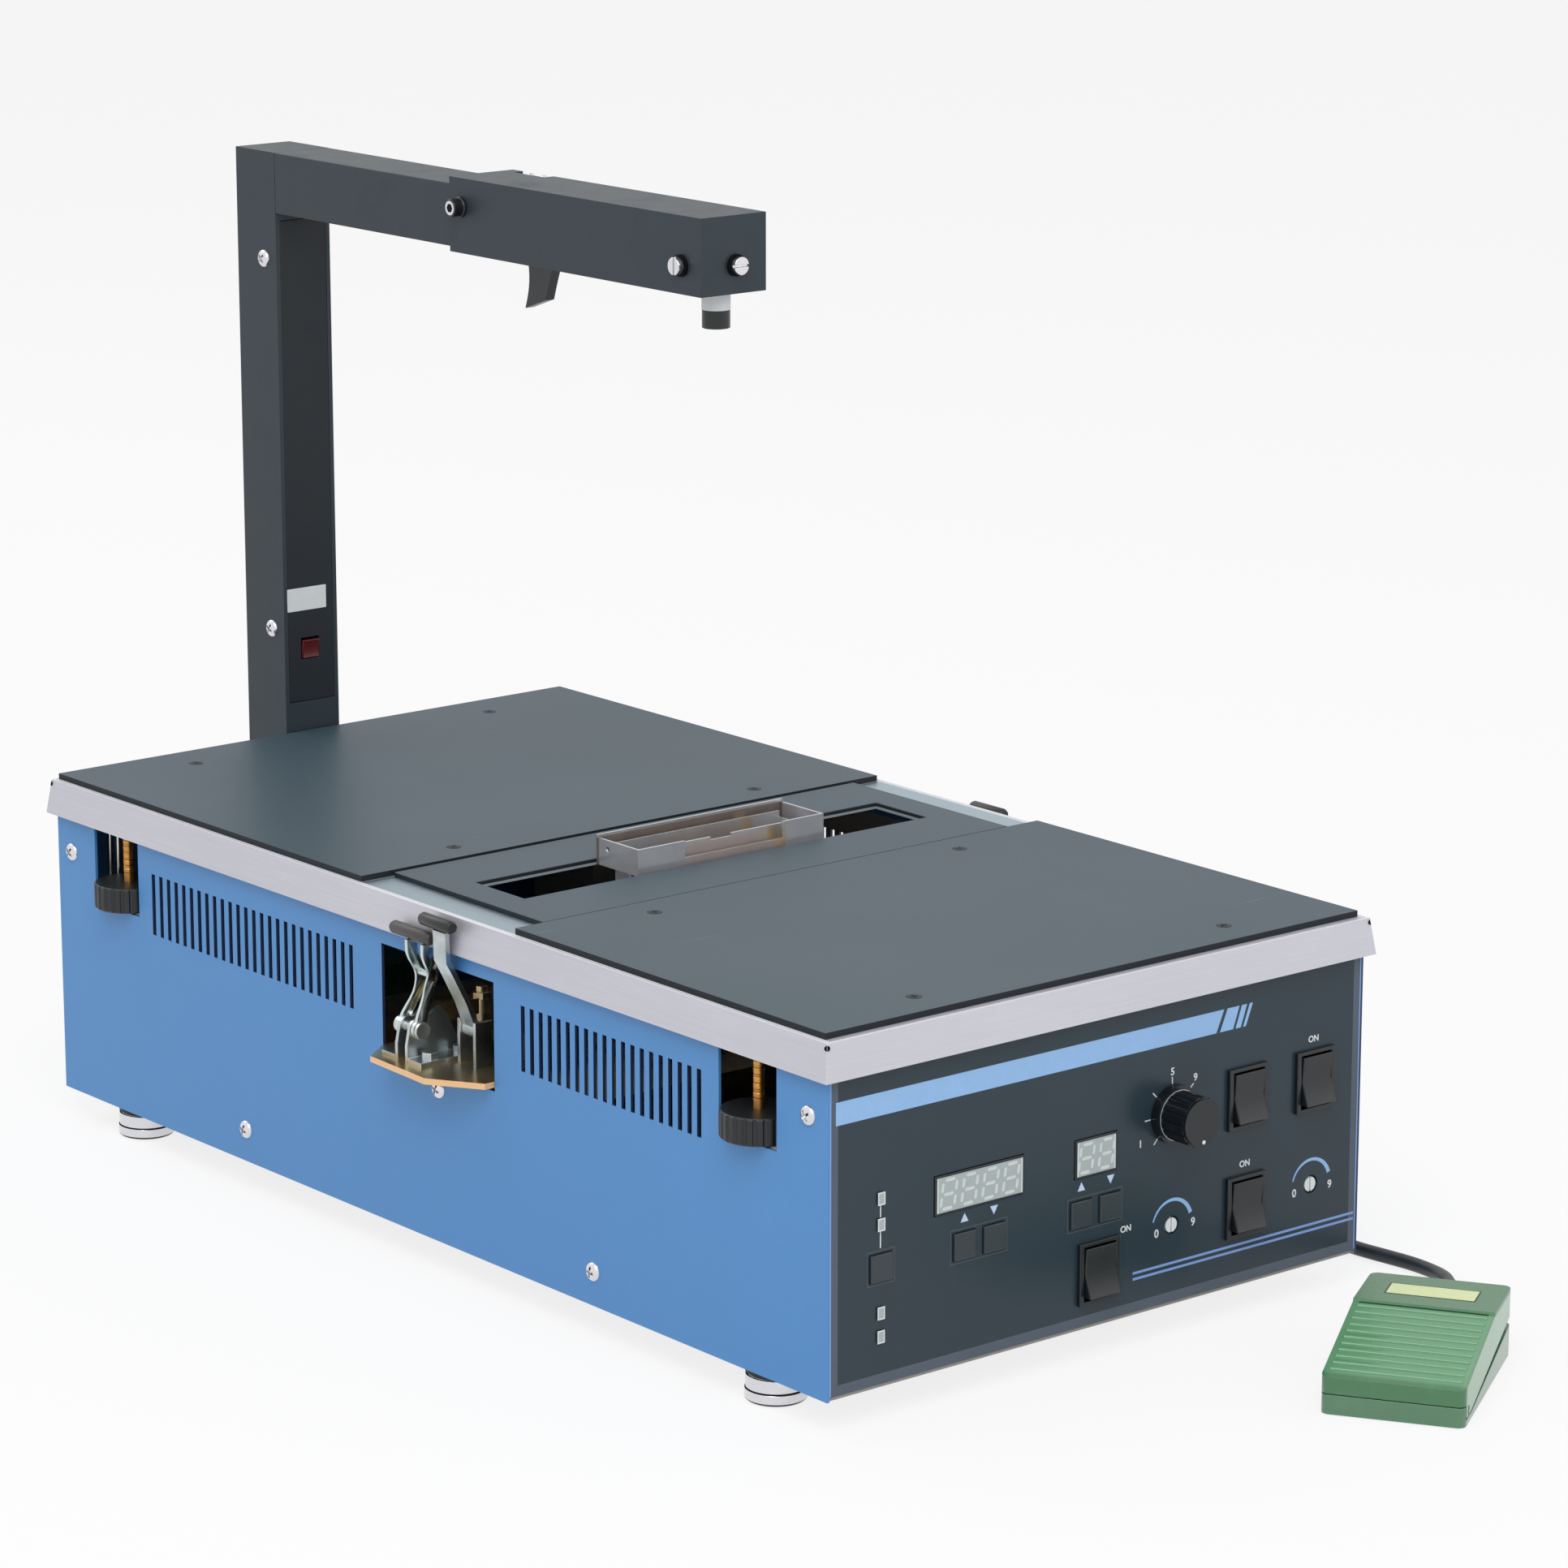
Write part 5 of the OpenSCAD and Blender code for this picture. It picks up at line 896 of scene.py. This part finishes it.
def makeScrews():
    tree = screwTree()
    points = screwPoints("side") + screwPoints("column")
    ways = [(math.copysign(1, point[0]), 0, 0) for point in points]
    addPiece("sideScrews", grow("sideScrews", tree, points, ways, "bright_steel"), "chassis",
             replaced=("side_screws",))
    # the plate screws' heads are painted dark as painted shade of their countersinks
    points, sunk = screwPoints("plate"), screwSizes(3.55, 0.35, 0.8, 0.3, 3.5, 1.2)
    addPiece("plateScrews", grow("plateScrews", tree, points, [up] * len(points), "screw_black", sunk),
             "table", replaced=("plate_screws",))
    points, small = screwPoints("notch", (1,)), screwSizes(2.2, 1.7, 0.6, 0.7, 1.6, 4.6)
    addPiece("notchScrews", grow("notchScrews", tree, points, [up] * len(points), "bright_steel", small),
             "sleeve")


def makeThreads():
    points = [(s * studs["x"], e * studs["y"], studs["low"]) for s in (-1, 1) for e in (-1, 1)]
    addPiece("studThreads", grow("studThreads", threadTree(), points, [up] * 4, "brass_stud"), "table")


makeScrews()
makeThreads()


print("stage: panel printing")
panelPrint = {
    "thick": 0.08, "sunk": 0.03, "left": -160.3, "stripe": (142.8, 153.5), "stripeEnd": (69.4, 74.2),
    "flashes": [((71.7, 76.4), (80.1, 84.0)), ((81.7, 85.6), (85.0, 88.9)), ((86.6, 90.6), (88.3, 92.6))],
    "lines": (36.5, 33.6), "lineWidth": 1.2, "lineEnds": (18.8, 162.2),
    "edge": (162.9, 163.6), "edgeEnds": (18, 164.5),
    "arrows": [(-84.9, 85.2, 1), (-67.3, 85.5, -1), (-14.1, 85.2, 1), (4.0, 85.5, -1)], "arrow": 2.3,
    "buttons": [(-93.4, -59.2), (-22.6, 11.6), (-142.4, -126.0)], "buttonEnds": (64.2, 80.6), "frame": 0.5,
}
panelWords = [
    ("ON", 133.0, 128.4, 3.1), ("ON", 89.4, 75.6, 3.1), ("ON", 14.0, 59.2, 3.1),
    ("0", 33.4, 52.6, 4.0), ("9", 56.6, 53.8, 4.0), ("0", 122.4, 54.0, 4.0), ("9", 145.8, 54.0, 4.0),
    ("1", 22.4, 98.2, 3.6), ("5", 42.0, 129.4, 3.6), ("9", 56.6, 124.0, 3.6),
]
letter = {"size": 1.38, "raised": 0.05, "bolder": 0.10, "lift": 0.04}
knobDial = {"middle": (42.6, 109.4), "radius": 15.9, "marks": (-132, -178, 137, 92.5, 43)}
trimDials = {"middles": [(43.1, 55.0), (133.2, 56.5)], "radius": 12.4, "turn": (163, 18), "band": (0.7, 2.2)}
lampSpots = {"x": -134.4, "z": (104.5, 92.4, 51.1, 40.0), "frame": (2.1, 3.0), "edge": 0.6,
             "lens": (1.5, 2.4), "lift": 0.8, "line": (-134.7, -134.1),
             "lineEnds": [(81.4, 89.2), (95.6, 101.4)]}
displays = [{"x": -76.3, "w": 53.3, "digits": 4}, {"x": -5.5, "w": 25.8, "digits": 2}]
displayShape = {"z": 98.7, "h": 18.6, "edge": 1.1, "side": 0.9, "digit": (9.0, 13.2), "bar": 1.5,
                "pitch": 12.4, "lean": 0.14}


def printed(name, shapes, finish, lift=0.0, thick=panelPrint["thick"]):
    # flat shapes of (x, z) points laid on the front panel
    work = bmesh.new()
    for shape in shapes:
        back = [work.verts.new(at(x, -panelFace - lift + panelPrint["sunk"], z)) for x, z in shape]
        front = [work.verts.new(at(x, -panelFace - lift - thick, z)) for x, z in shape]
        work.faces.new(front)
        work.faces.new(back[::-1])
        for i in range(len(shape)):
            work.faces.new((front[i], front[i - 1], back[i - 1], back[i]))
    bmesh.ops.recalc_face_normals(work, faces=work.faces)
    return addPiece(name, meshFrom(name, work), "chassis", finish)


def rect(x0, x1, z0, z1):
    return [(x0, z0), (x1, z0), (x1, z1), (x0, z1)]


def outline(x0, x1, z0, z1, w):
    return [rect(x0, x1, z0, z0 + w), rect(x0, x1, z1 - w, z1), rect(x0, x0 + w, z0 + w, z1 - w),
            rect(x1 - w, x1, z0 + w, z1 - w)]


def arcBand(middle, radius, turn, band, steps=28):
    # a band round a dial that grows from thin to thick
    inner, outer = [], []
    for i in range(steps + 1):
        angle = math.radians(turn[0] + (turn[1] - turn[0]) * i / steps)
        half = (band[0] + (band[1] - band[0]) * i / steps) / 2
        for side, reach in ((outer, radius + half), (inner, radius - half)):
            side.append((middle[0] + math.cos(angle) * reach, middle[1] + math.sin(angle) * reach))
    return [inner[i:i + 2] + outer[i:i + 2][::-1] for i in range(steps)]


def arrow(x, z, way, size):
    foot = z - way * size * 0.8
    return [(x - size, foot), (x + size, foot), (x, z + way * size)]


def lettering(name, words, finish):
    # upright words and numbers, (text, x, z, height), on the front panel
    work = bmesh.new()
    upright = Matrix.Rotation(math.radians(90), 4, "X")
    for text, x, z, height in words:
        curve = bpy.data.curves.new("word", "FONT")
        curve.body = text
        curve.align_x = "CENTER"
        curve.align_y = "CENTER"
        curve.size = height * letter["size"] * mm
        curve.extrude = letter["raised"] * mm
        curve.offset = letter["bolder"] * mm
        word = bpy.data.objects.new("word", curve)
        scene.collection.objects.link(word)
        mesh = evaluated(word)
        mesh.transform(Matrix.Translation(at(x, -panelFace - letter["lift"], z)) @ upright)
        work.from_mesh(mesh)
    return addPiece(name, meshFrom(name, work), "chassis", finish)


def digitBars(x, z):
    # the seven bars of one digit, leaning a little
    w, h = displayShape["digit"]
    b = displayShape["bar"]
    bars = []
    for spot in (-h / 2, 0, h / 2):
        bars.append([(-w / 2 + b, spot), (-w / 2 + b * 1.5, spot + b / 2), (w / 2 - b * 1.5, spot + b / 2),
                     (w / 2 - b, spot), (w / 2 - b * 1.5, spot - b / 2), (-w / 2 + b * 1.5, spot - b / 2)])
    for side in (-1, 1):
        for low, high in ((-h / 2 + b * 0.6, -b * 0.6), (b * 0.6, h / 2 - b * 0.6)):
            e = side * (w / 2 - b * 0.3)
            bars.append([(e - b / 2, low + b / 2), (e, low), (e + b / 2, low + b / 2),
                         (e + b / 2, high - b / 2), (e, high), (e - b / 2, high - b / 2)])
    return [[(x + px + displayShape["lean"] * pz, z + pz) for px, pz in bar] for bar in bars]


def makePanelPrint():
    low, high = panelPrint["stripe"]
    left, (lowEnd, highEnd) = panelPrint["left"], panelPrint["stripeEnd"]
    stripe = [[(left, low), (lowEnd, low), (highEnd, high), (left, high)]]
    stripe += [[(start[0], low), (end[0], low), (end[1], high), (start[1], high)]
               for start, end in panelPrint["flashes"]]
    printed("panelStripe", stripe, "blue_print")
    half = panelPrint["lineWidth"] / 2
    lines = [rect(*panelPrint["lineEnds"], z - half, z + half) for z in panelPrint["lines"]]
    printed("panelLines", lines, "line_print")
    near, far = panelPrint["edge"]
    printed("panelEdge", [rect(*ends, *panelPrint["edgeEnds"]) for ends in ((near, far), (-far, -near))],
            "line_print")
    arrows = [arrow(*spot, panelPrint["arrow"]) for spot in panelPrint["arrows"]]
    printed("panelArrows", arrows, "arrow_print")
    bands = [shape for middle in trimDials["middles"]
             for shape in arcBand(middle, trimDials["radius"], trimDials["turn"], trimDials["band"])]
    printed("trimArcs", bands, "blue_print")
    frames = [shape for ends in panelPrint["buttons"]
              for shape in outline(*ends, *panelPrint["buttonEnds"], panelPrint["frame"])]
    printed("buttonFrames", frames, "frame_print")
    printed("lampLine", [rect(*lampSpots["line"], *ends) for ends in lampSpots["lineEnds"]], "white_print")
    (w, h), x, edge = lampSpots["frame"], lampSpots["x"], lampSpots["edge"]
    frames = [shape for z in lampSpots["z"] for shape in outline(x - w, x + w, z - h, z + h, edge)]
    printed("lampFrames", frames, "white_print", lift=lampSpots["lift"], thick=0.1)
    w, h = lampSpots["lens"]
    printed("lampLenses", [rect(x - w, x + w, z - h, z + h) for z in lampSpots["z"]], "window_grey",
            lift=lampSpots["lift"], thick=0.05)
    lettering("panelWords", panelWords, "white_print")


def makeDisplays():
    edge, side = displayShape["edge"], displayShape["side"]
    z, half = displayShape["z"], displayShape["h"] / 2 - edge
    panes, bars, sides = [], [], []
    for shown in displays:
        x0, x1 = shown["x"] - shown["w"] / 2 + edge, shown["x"] + shown["w"] / 2 - edge
        panes.append(rect(x0, x1, z - half, z + half))
        # pale strips at each pane's left and right edge are a painted reflection
        sides += [rect(*ends, z - half, z + half) for ends in ((x0, x0 + side), (x1 - side, x1))]
        for i in range(shown["digits"]):
            bars += digitBars(shown["x"] + (i - (shown["digits"] - 1) / 2) * displayShape["pitch"], z)
    printed("displayPanes", panes, "window_grey", lift=0.62, thick=0.1)
    printed("displayDigits", bars, "segment_pale", lift=0.74, thick=0.04)
    # the painted reflection on the panes' edges
    printed("displayEdges", sides, "segment_pale", lift=0.73, thick=0.03)


def makeDialMarks():
    (x, z), radius = knobDial["middle"], knobDial["radius"]
    ways = [(math.cos(math.radians(a)), 0, math.sin(math.radians(a))) for a in knobDial["marks"]]
    points = [(x + radius * way[0], -panelFace - letter["lift"], z + radius * way[2]) for way in ways]
    addPiece("dialMarks", grow("dialMarks", markTree(), points, ways, "white_print"), "chassis")


def lathe(name, profile, place, way, finish, body, slot, steps):
    # (radius, height) pairs in mm turned about a line through place
    work = bmesh.new()
    turn = Vector(way).to_track_quat("Z", "Y").to_matrix()
    rings = [[work.verts.new(at(*place) + turn @ Vector((radius * c, radius * s, height)) * mm)
              for c, s in circle(steps)] for radius, height in profile]
    return addPiece(name, meshFrom(name, skinned(work, rings), sharpFrom), body, finish)


makePanelPrint()
makeDisplays()
makeDialMarks()

print("stage: labels, pointer and table corners")
columnLabel = {"ends": ((-15, 10), (318.35, 318.85), (250, 262.5)), "edge": 0.15}
# each turned piece's (radius, height) pairs, place, way up, finish, body, slot and number of steps round
turnedPieces = {
    "knobPointer": ([(1.0, -0.1), (1.0, 0.15), (0.8, 0.25)], (43.5, -334.3, 99.9), (0, -1, 0),
                    "white_print", "flow_knob", "black_plastic", 20),
    # a thin metal ring that stands for the knob's highlight line, a painted highlight
    "knobRing": ([(12.0, -0.3), (12.2, -0.15), (12.2, 0.15), (12.0, 0.3)], (42.6, -318.7, 109.4), (0, -1, 0),
                 "clear_zinc", "flow_knob", "black_plastic", 48),
    "laserBand": ([(6.9, 0), (7.05, 0.1), (7.05, 8.5), (6.9, 8.6)], (1, -30, 454), up,
                  "white_print", "sleeve", "motor_black", 48),
    "lockRing": ([(3.0, -0.4), (3.6, -0.4), (3.6, 0.1), (3.0, 0.1)], (-27, 148.7, 486.5), (-1, 0, 0),
                 "bright_steel", "lock_screw", slotOf["lock_screw"], 32),
    # a dark disc as painted shade in the lock screw's recess
    "lockRingHole": ([(2.4, 0.0), (2.4, 0.14)], (-27, 148.7, 486.5), (-1, 0, 0),
                     "dark_print", "lock_screw", slotOf["lock_screw"], 6),
}
reliefHoles = {"x": 166.9, "y": 316.2, "z": 179.9, "profile": [(1.3, -0.9), (1.3, 0.2)], "rise": 0.25}
slotLip = {"x": 126.4, "y": (-41.9, -2.6), "z": (181.6, 182.6), "width": 0.9}


def makeColumnLabel():
    work = boxed([columnLabel["ends"]])
    bmesh.ops.bevel(work, geom=work.edges[:], offset=columnLabel["edge"] * mm, segments=2, affect="EDGES")
    addPiece("columnLabel", meshFrom("columnLabel", work, 40), "chassis", "white_print")


def makeSlotLip():
    # the thin light edge seen inside the opening of the middle plate
    x, (y0, y1), height, w = slotLip["x"], slotLip["y"], slotLip["z"], slotLip["width"]
    strips = [((-x, x), (y1 - w, y1), height), ((-x, x), (y0, y0 + w), height),
              ((-x, -x + w), (y0 + w, y1 - w), height), ((x - w, x), (y0 + w, y1 - w), height)]
    addPiece("slotLip", meshFrom("slotLip", boxed(strips)), "table", "slot_lip")


makeColumnLabel()
for name, shape in turnedPieces.items():
    lathe(name, *shape)
# dark discs as painted shade in the skirt's corner holes
for i, (sx, sy) in enumerate([(-1, -1), (1, -1), (-1, 1), (1, 1)]):
    place = (sx * reliefHoles["x"], sy * reliefHoles["y"], reliefHoles["z"])
    lathe("cornerHole%d" % i, reliefHoles["profile"], place, (sx, sy, reliefHoles["rise"]), "dark_print",
          "table", "stainless", 20)
makeSlotLip()

print("stage: foot switch")


def onPedal(x, y, z):
    # a place counted from the foot switch's front left corner, along and across it
    cornerX, cornerY = pedal["corner"]
    return at(cornerX + x * pedalCos - y * pedalSin, cornerY + x * pedalSin + y * pedalCos, z)


def alongPedal(place):
    across = (place - at(*pedal["corner"], 0)) / mm
    return across.x * pedalCos + across.y * pedalSin, across.y * pedalCos - across.x * pedalSin


def makeTreadle():
    # the heel's flat and the ribs moved to where they show, the shell's outside kept
    work = merged("treadle")
    rise = pedal["rearTop"] - pedal["step"] - pedal["frontTop"]
    first, last = pedal["ribStart"], pedal["solidStep"]
    stretch = (pedal["stepAt"] - first) / (last - first)
    for vert in work.verts:
        x, y = alongPedal(vert.co)
        top = pedal["frontTop"] + rise * min(1, x / last)
        if vert.co.z / mm > top - pedal["ribDepth"] and first < x < last + 0.1:
            vert.co.xy = onPedal(first + (x - first) * stretch, y, 0).xy
    bmesh.ops.recalc_face_normals(work, faces=work.faces)
    soften("treadle", 0.45, "pedal_green", work=work)


def pedalBars(name, boxes, finish):
    # thin bars on the treadle, each given by its ends along, across and up
    addPiece(name, meshFrom(name, boxed(boxes, onPedal)), "treadle", finish)


def makePedalPlate():
    (x0, x1), (y0, y1) = pedal["plate"], pedal["plateWidth"]
    z, rim, step = pedal["rearTop"], pedal["plateRim"], pedal["stepAt"]
    pedalBars("pedalPlate", [((x0, x1), (y0, y1), (z - 0.3, z + 0.12))], "pedal_plate")
    # the rim round the plate and the groove at the heel step are painted dark as painted shade
    flat, wide = (z - 0.3, z + 0.05), (y0 - rim, y1 + rim)
    pedalBars("pedalPlateRim", [((x0 - rim, x0), wide, flat), ((x1, x1 + rim), wide, flat),
                                ((x0, x1), (y0 - rim, y0), flat), ((x0, x1), (y1, y1 + rim), flat)],
              "dark_green")
    pedalBars("heelGroove", [((step - 1.3, step - 0.1), pedal["groove"], (z - 2.2, z - 1.0))], "dark_green")


def makePedalSpring():
    # the spring under the heel, given a mesh of its own; the real spring shortens as the treadle comes down
    # on it
    spring = addPiece("pedalSpring", meshFrom("pedalSpring", merged("pedal_spring"), 60), "chassis",
                      "spring_wire", replaced=("pedal_spring",))
    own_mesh(spring)


makeTreadle()
makePedalPlate()
makePedalSpring()

print("stage: foot switch cord")
# the coil's four turns lie on (radius, height) tracks, each left for the next over a range of degrees
cordRun = {"diameter": 7 * mm, "length": 1.86, "coilMiddle": (70, 392),
           "tracks": ((42, 10.6), (35, 10.6), (35, 3.6), (42, 3.6)),
           "changes": ((326, 346), (308, 330), (288, 312)), "coilFrom": 12, "coilTo": 1340, "coilStep": 18}
glandToCoil = [
    (108.5, 326.2, 45), (108.5, 334, 45), (108.5, 344, 42.5), (109.5, 354, 36), (111.3, 363, 28.5),
    (113.2, 371, 22), (114.2, 380, 16.2), (113.6, 390, 12.4),
]
coilToPedal = [
    (70, 350, 3.6), (88, 350, 3.6), (106, 350, 3.6), (124, 350, 3.6), (142, 348.5, 3.6), (160, 344.5, 3.6),
    (176, 336.5, 3.6), (188, 324, 3.6), (195, 308, 3.6), (199, 290, 3.6), (200, 250, 3.6), (201, 200, 3.6),
    (201, 150, 3.6), (200, 100, 3.6), (200, 50, 3.6), (200, 0, 3.6), (200, -50, 3.6), (201, -100, 3.6),
    (201, -150, 3.6), (200, -200, 3.6), (197.2, -240, 3.6), (195.8, -265, 3.6), (196.2, -286, 3.6),
    (198.4, -304, 3.6), (199.9, -318, 3.6), (199.2, -330, 3.8), (195, -343, 4.8), (188, -354, 5.8),
    (179, -364, 6.6), (168, -375, 7.2), (157, -384.5, 7.5), (147.5, -391.8, 7.5), (138.9, -397.8, 7.5),
]
boots = [
    {"name": "rearBoot", "path": glandToCoil[:3], "length": 25, "wide": 6.2, "narrow": 4.5},
    {"name": "pedalBoot", "path": coilToPedal[:-4:-1], "length": 23, "wide": 5.6, "narrow": 4.4},
]
bootShape = {"rings": 31, "corners": 32, "groove": 0.7, "every": 5, "grooved": (3, 4), "plain": 3}


def coilPoint(degrees):
    # each turn passes to the next track near its end
    lap, angle = degrees // 360, math.radians(degrees)
    radius, height = cordRun["tracks"][lap]
    if lap < len(cordRun["changes"]):
        share = smoothStep(degrees - 360 * lap, *cordRun["changes"][lap])
        nextRadius, nextHeight = cordRun["tracks"][lap + 1]
        radius += (nextRadius - radius) * share
        height += (nextHeight - height) * share
    x, y = cordRun["coilMiddle"]
    return (x + radius * math.cos(angle), y + radius * math.sin(angle), height)


def alongPath(spots, left):
    # the place and the way at a distance along a path, its end if the path is shorter
    for a, b in zip(spots, spots[1:]):
        way = (b - a).normalized()
        if left <= (b - a).length:
            return a + way * left, way
        left -= (b - a).length
    return spots[-1], way


def makeBoot(boot):
    # tapered rubber strain relief: rings round the cord, each followed by a groove
    spots = [at(*point) for point in boot["path"]]
    count, corners, plain = bootShape["rings"], bootShape["corners"], bootShape["plain"]
    work, rings = bmesh.new(), []
    for i in range(count):
        share = i / (count - 1)
        spot, way = alongPath(spots, boot["length"] * mm * share)
        radius = boot["wide"] + (boot["narrow"] - boot["wide"]) * share
        if i % bootShape["every"] in bootShape["grooved"] and plain < i < count - plain:
            radius -= bootShape["groove"]
        across = way.cross(Vector((0, 0, 1))).normalized()
        high = across.cross(way).normalized()
        rings.append([work.verts.new(spot + (across * c + high * s) * radius * mm)
                      for c, s in circle(corners)])
    mesh = meshFrom(boot["name"], skinned(work, rings), 40)
    return addPiece(boot["name"], mesh, "chassis", "foot_rubber")


def makeCord():
    turns = range(cordRun["coilFrom"], cordRun["coilTo"], cordRun["coilStep"])
    route = glandToCoil + [coilPoint(degrees) for degrees in turns] + coilToPedal
    curve = bpy.data.curves.new("footCord", "CURVE")
    curve.dimensions = "3D"
    curve.bevel_depth = cordRun["diameter"] / 2
    curve.bevel_resolution = 4
    curve.resolution_u = 4
    curve.use_fill_caps = True
    spline = curve.splines.new("BEZIER")
    spline.bezier_points.add(len(route) - 1)
    for knot, point in zip(spline.bezier_points, route):
        knot.co = at(*point)
        knot.handle_left_type = "AUTO"
        knot.handle_right_type = "AUTO"
    cord = bpy.data.objects.new("footCord", curve)
    scene.collection.objects.link(cord)
    curve.materials.append(finishes["cord_rubber"])
    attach(cord, "chassis")
    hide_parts("cord", "coil")
    tuple(at(*glandToCoil[0]))
    [makeBoot(boot) for boot in boots]


makeCord()
